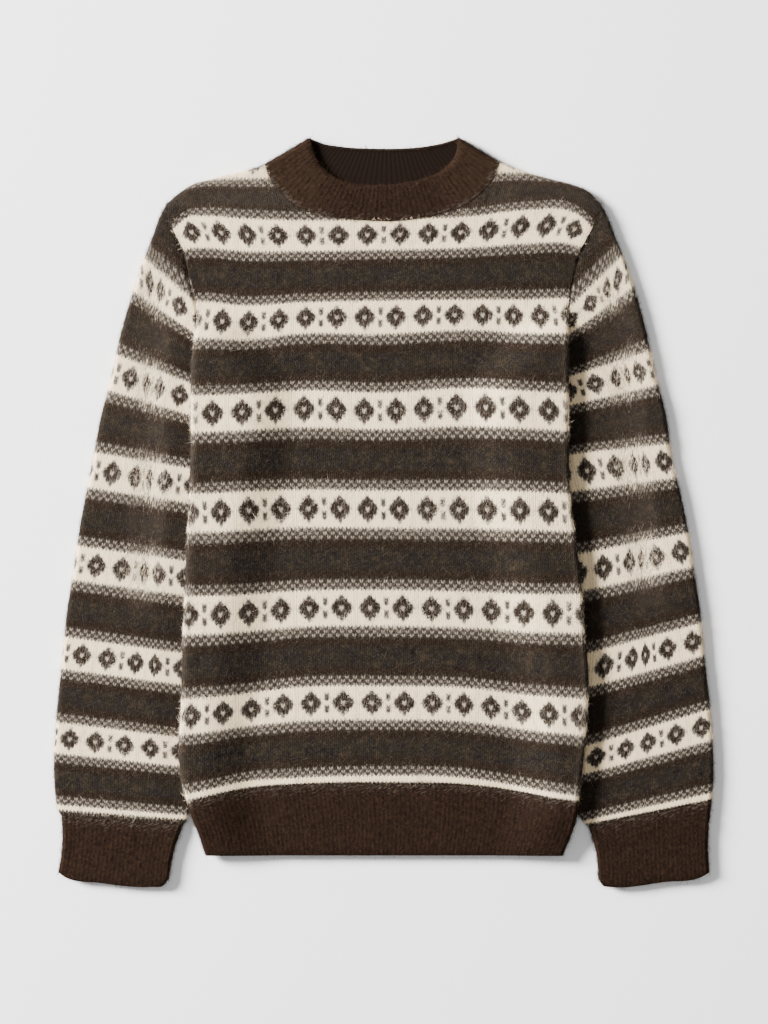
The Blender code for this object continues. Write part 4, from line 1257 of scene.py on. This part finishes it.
def band_cloth(across, up, depth):
    facing = np.where(across > 0.5, 1, -1)
    share = np.abs(across - 0.5) * 2
    ribs = np.where(facing > 0, NECK_RIBS_FRONT, NECK_RIBS_BACK)
    shown = facing > 0 if depth == 0 else facing < 0
    stand = np.where(shown, ribbed(share, ribs, facing), 0)
    u, v = share, up
    for _ in range(3):
        width = np.zeros_like(share)
        for step in range(MEASURED):
            marks = (step / MEASURED, (step + 1) / MEASURED)
            ends = [band_plan(facing, np.full_like(u, mark), v) for mark in marks]
            width = width + np.linalg.norm(ends[1] - ends[0], axis=0)
        place, out, wider = turned(share, width, 0, 0, depth - stand, NECK_FOLD)
        u = place / width
        length = np.linalg.norm(band_plan(facing, u, 1) - band_plan(facing, u, 0), axis=0)
        climb, rise, longer = turned(up, length, SEAM_SLOPE, EDGE_SLOPE, depth, NECK_FOLD)
        v = climb / length
    x, y = band_plan(facing, u, v)
    z = NECK_FOLD + facing * (NECK_FOLD - depth + stand) * out * rise
    return (x, y, z), (ribs * share * facing, up * length / RIB_COURSE)


NECK_FACES = 780, 14  # round and up
NECK_FIBRES = 300000  # to a square metre
neck = knitted("neck_rib", *NECK_FACES, band_cloth, "brown_rib", tube=True, lined=RIB_WALL)
neck.data.materials.append(rib_knit)
# The band's seam is at its lower edge, so shares of its height are counted down from the top
for share in neck.data.attributes["up"].data:
    share.value = 1 - share.value
# It is worn at the sides of the neck
paint_wear_and_highlight(neck, lambda x, y, z: 0.16 * ease((np.abs(x) - 40) / 40))
brushed("fuzz_neck", neck, NECK_FIBRES, 11, rib_fibre)
# The kinds of fibre have been copied onto every piece and aren't needed any more
for fibre_kind in list(fibre_kinds.objects):
    bpy.data.objects.remove(fibre_kind)
bpy.data.collections.remove(fibre_kinds)
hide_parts("neckband")


# The table that the sweater lies on, painted matt white. Matt paint shows no reflection, only the
# sweater's soft shadow.

TABLE_WHITE = "#f6f6f6"
TABLE_HALF = 4  # half the table's width, in metres as everything below
floor_shape = bmesh.new()
bmesh.ops.create_grid(floor_shape, x_segments=1, y_segments=1, size=TABLE_HALF)
floor_mesh = bpy.data.meshes.new("floor")
floor_shape.to_mesh(floor_mesh)
floor_shape.free()
floor = bpy.data.objects.new("floor", floor_mesh)
bpy.context.scene.collection.objects.link(floor)
floor_paint = bpy.data.materials.new("white matt table")
floor_paint.use_nodes = True
floor_shader = floor_paint.node_tree.nodes["Principled BSDF"]
floor_shader.inputs["Base Color"].default_value = hex_colour(TABLE_WHITE)
floor_shader.inputs["Roughness"].default_value = 0.9
floor_mesh.materials.append(floor_paint)

# The camera, straight above the sweater's middle. At its height the frame is 1024 mm high in the
# plane of the cloth, so one pixel of it is 1 mm.

camera_data = bpy.data.cameras.new("camera")
camera_data.lens = 90
camera_data.sensor_width = 36
camera = bpy.data.objects.new("camera", camera_data)
camera.location = (0.0005, 0, 2.564)  # half a pixel to the right
bpy.context.scene.collection.objects.link(camera)
bpy.context.scene.camera = camera

# Studio light: a large round lamp low on the left gives the folds their shade, and a weak one
# above and an even white surrounding fill it in.

key_data = bpy.data.lights.new("window", "AREA")
key_data.shape = "DISK"
key_data.size = 2.0
key_data.energy = 2360
key = bpy.data.objects.new("window", key_data)
key.location = (-4.8, 2.0, 2.36)
key.rotation_euler = key.location.to_track_quat("Z", "Y").to_euler()
bpy.context.scene.collection.objects.link(key)

fill_data = bpy.data.lights.new("ceiling", "AREA")
fill_data.size = 3
fill_data.energy = 20
fill = bpy.data.objects.new("ceiling", fill_data)
fill.location = (0, 0, 3)
bpy.context.scene.collection.objects.link(fill)

world = bpy.data.worlds.new("studio")
world.use_nodes = True
world.node_tree.nodes["Background"].inputs["Color"].default_value = (1, 1, 1, 1)
world.node_tree.nodes["Background"].inputs["Strength"].default_value = 0.42
bpy.context.scene.world = world
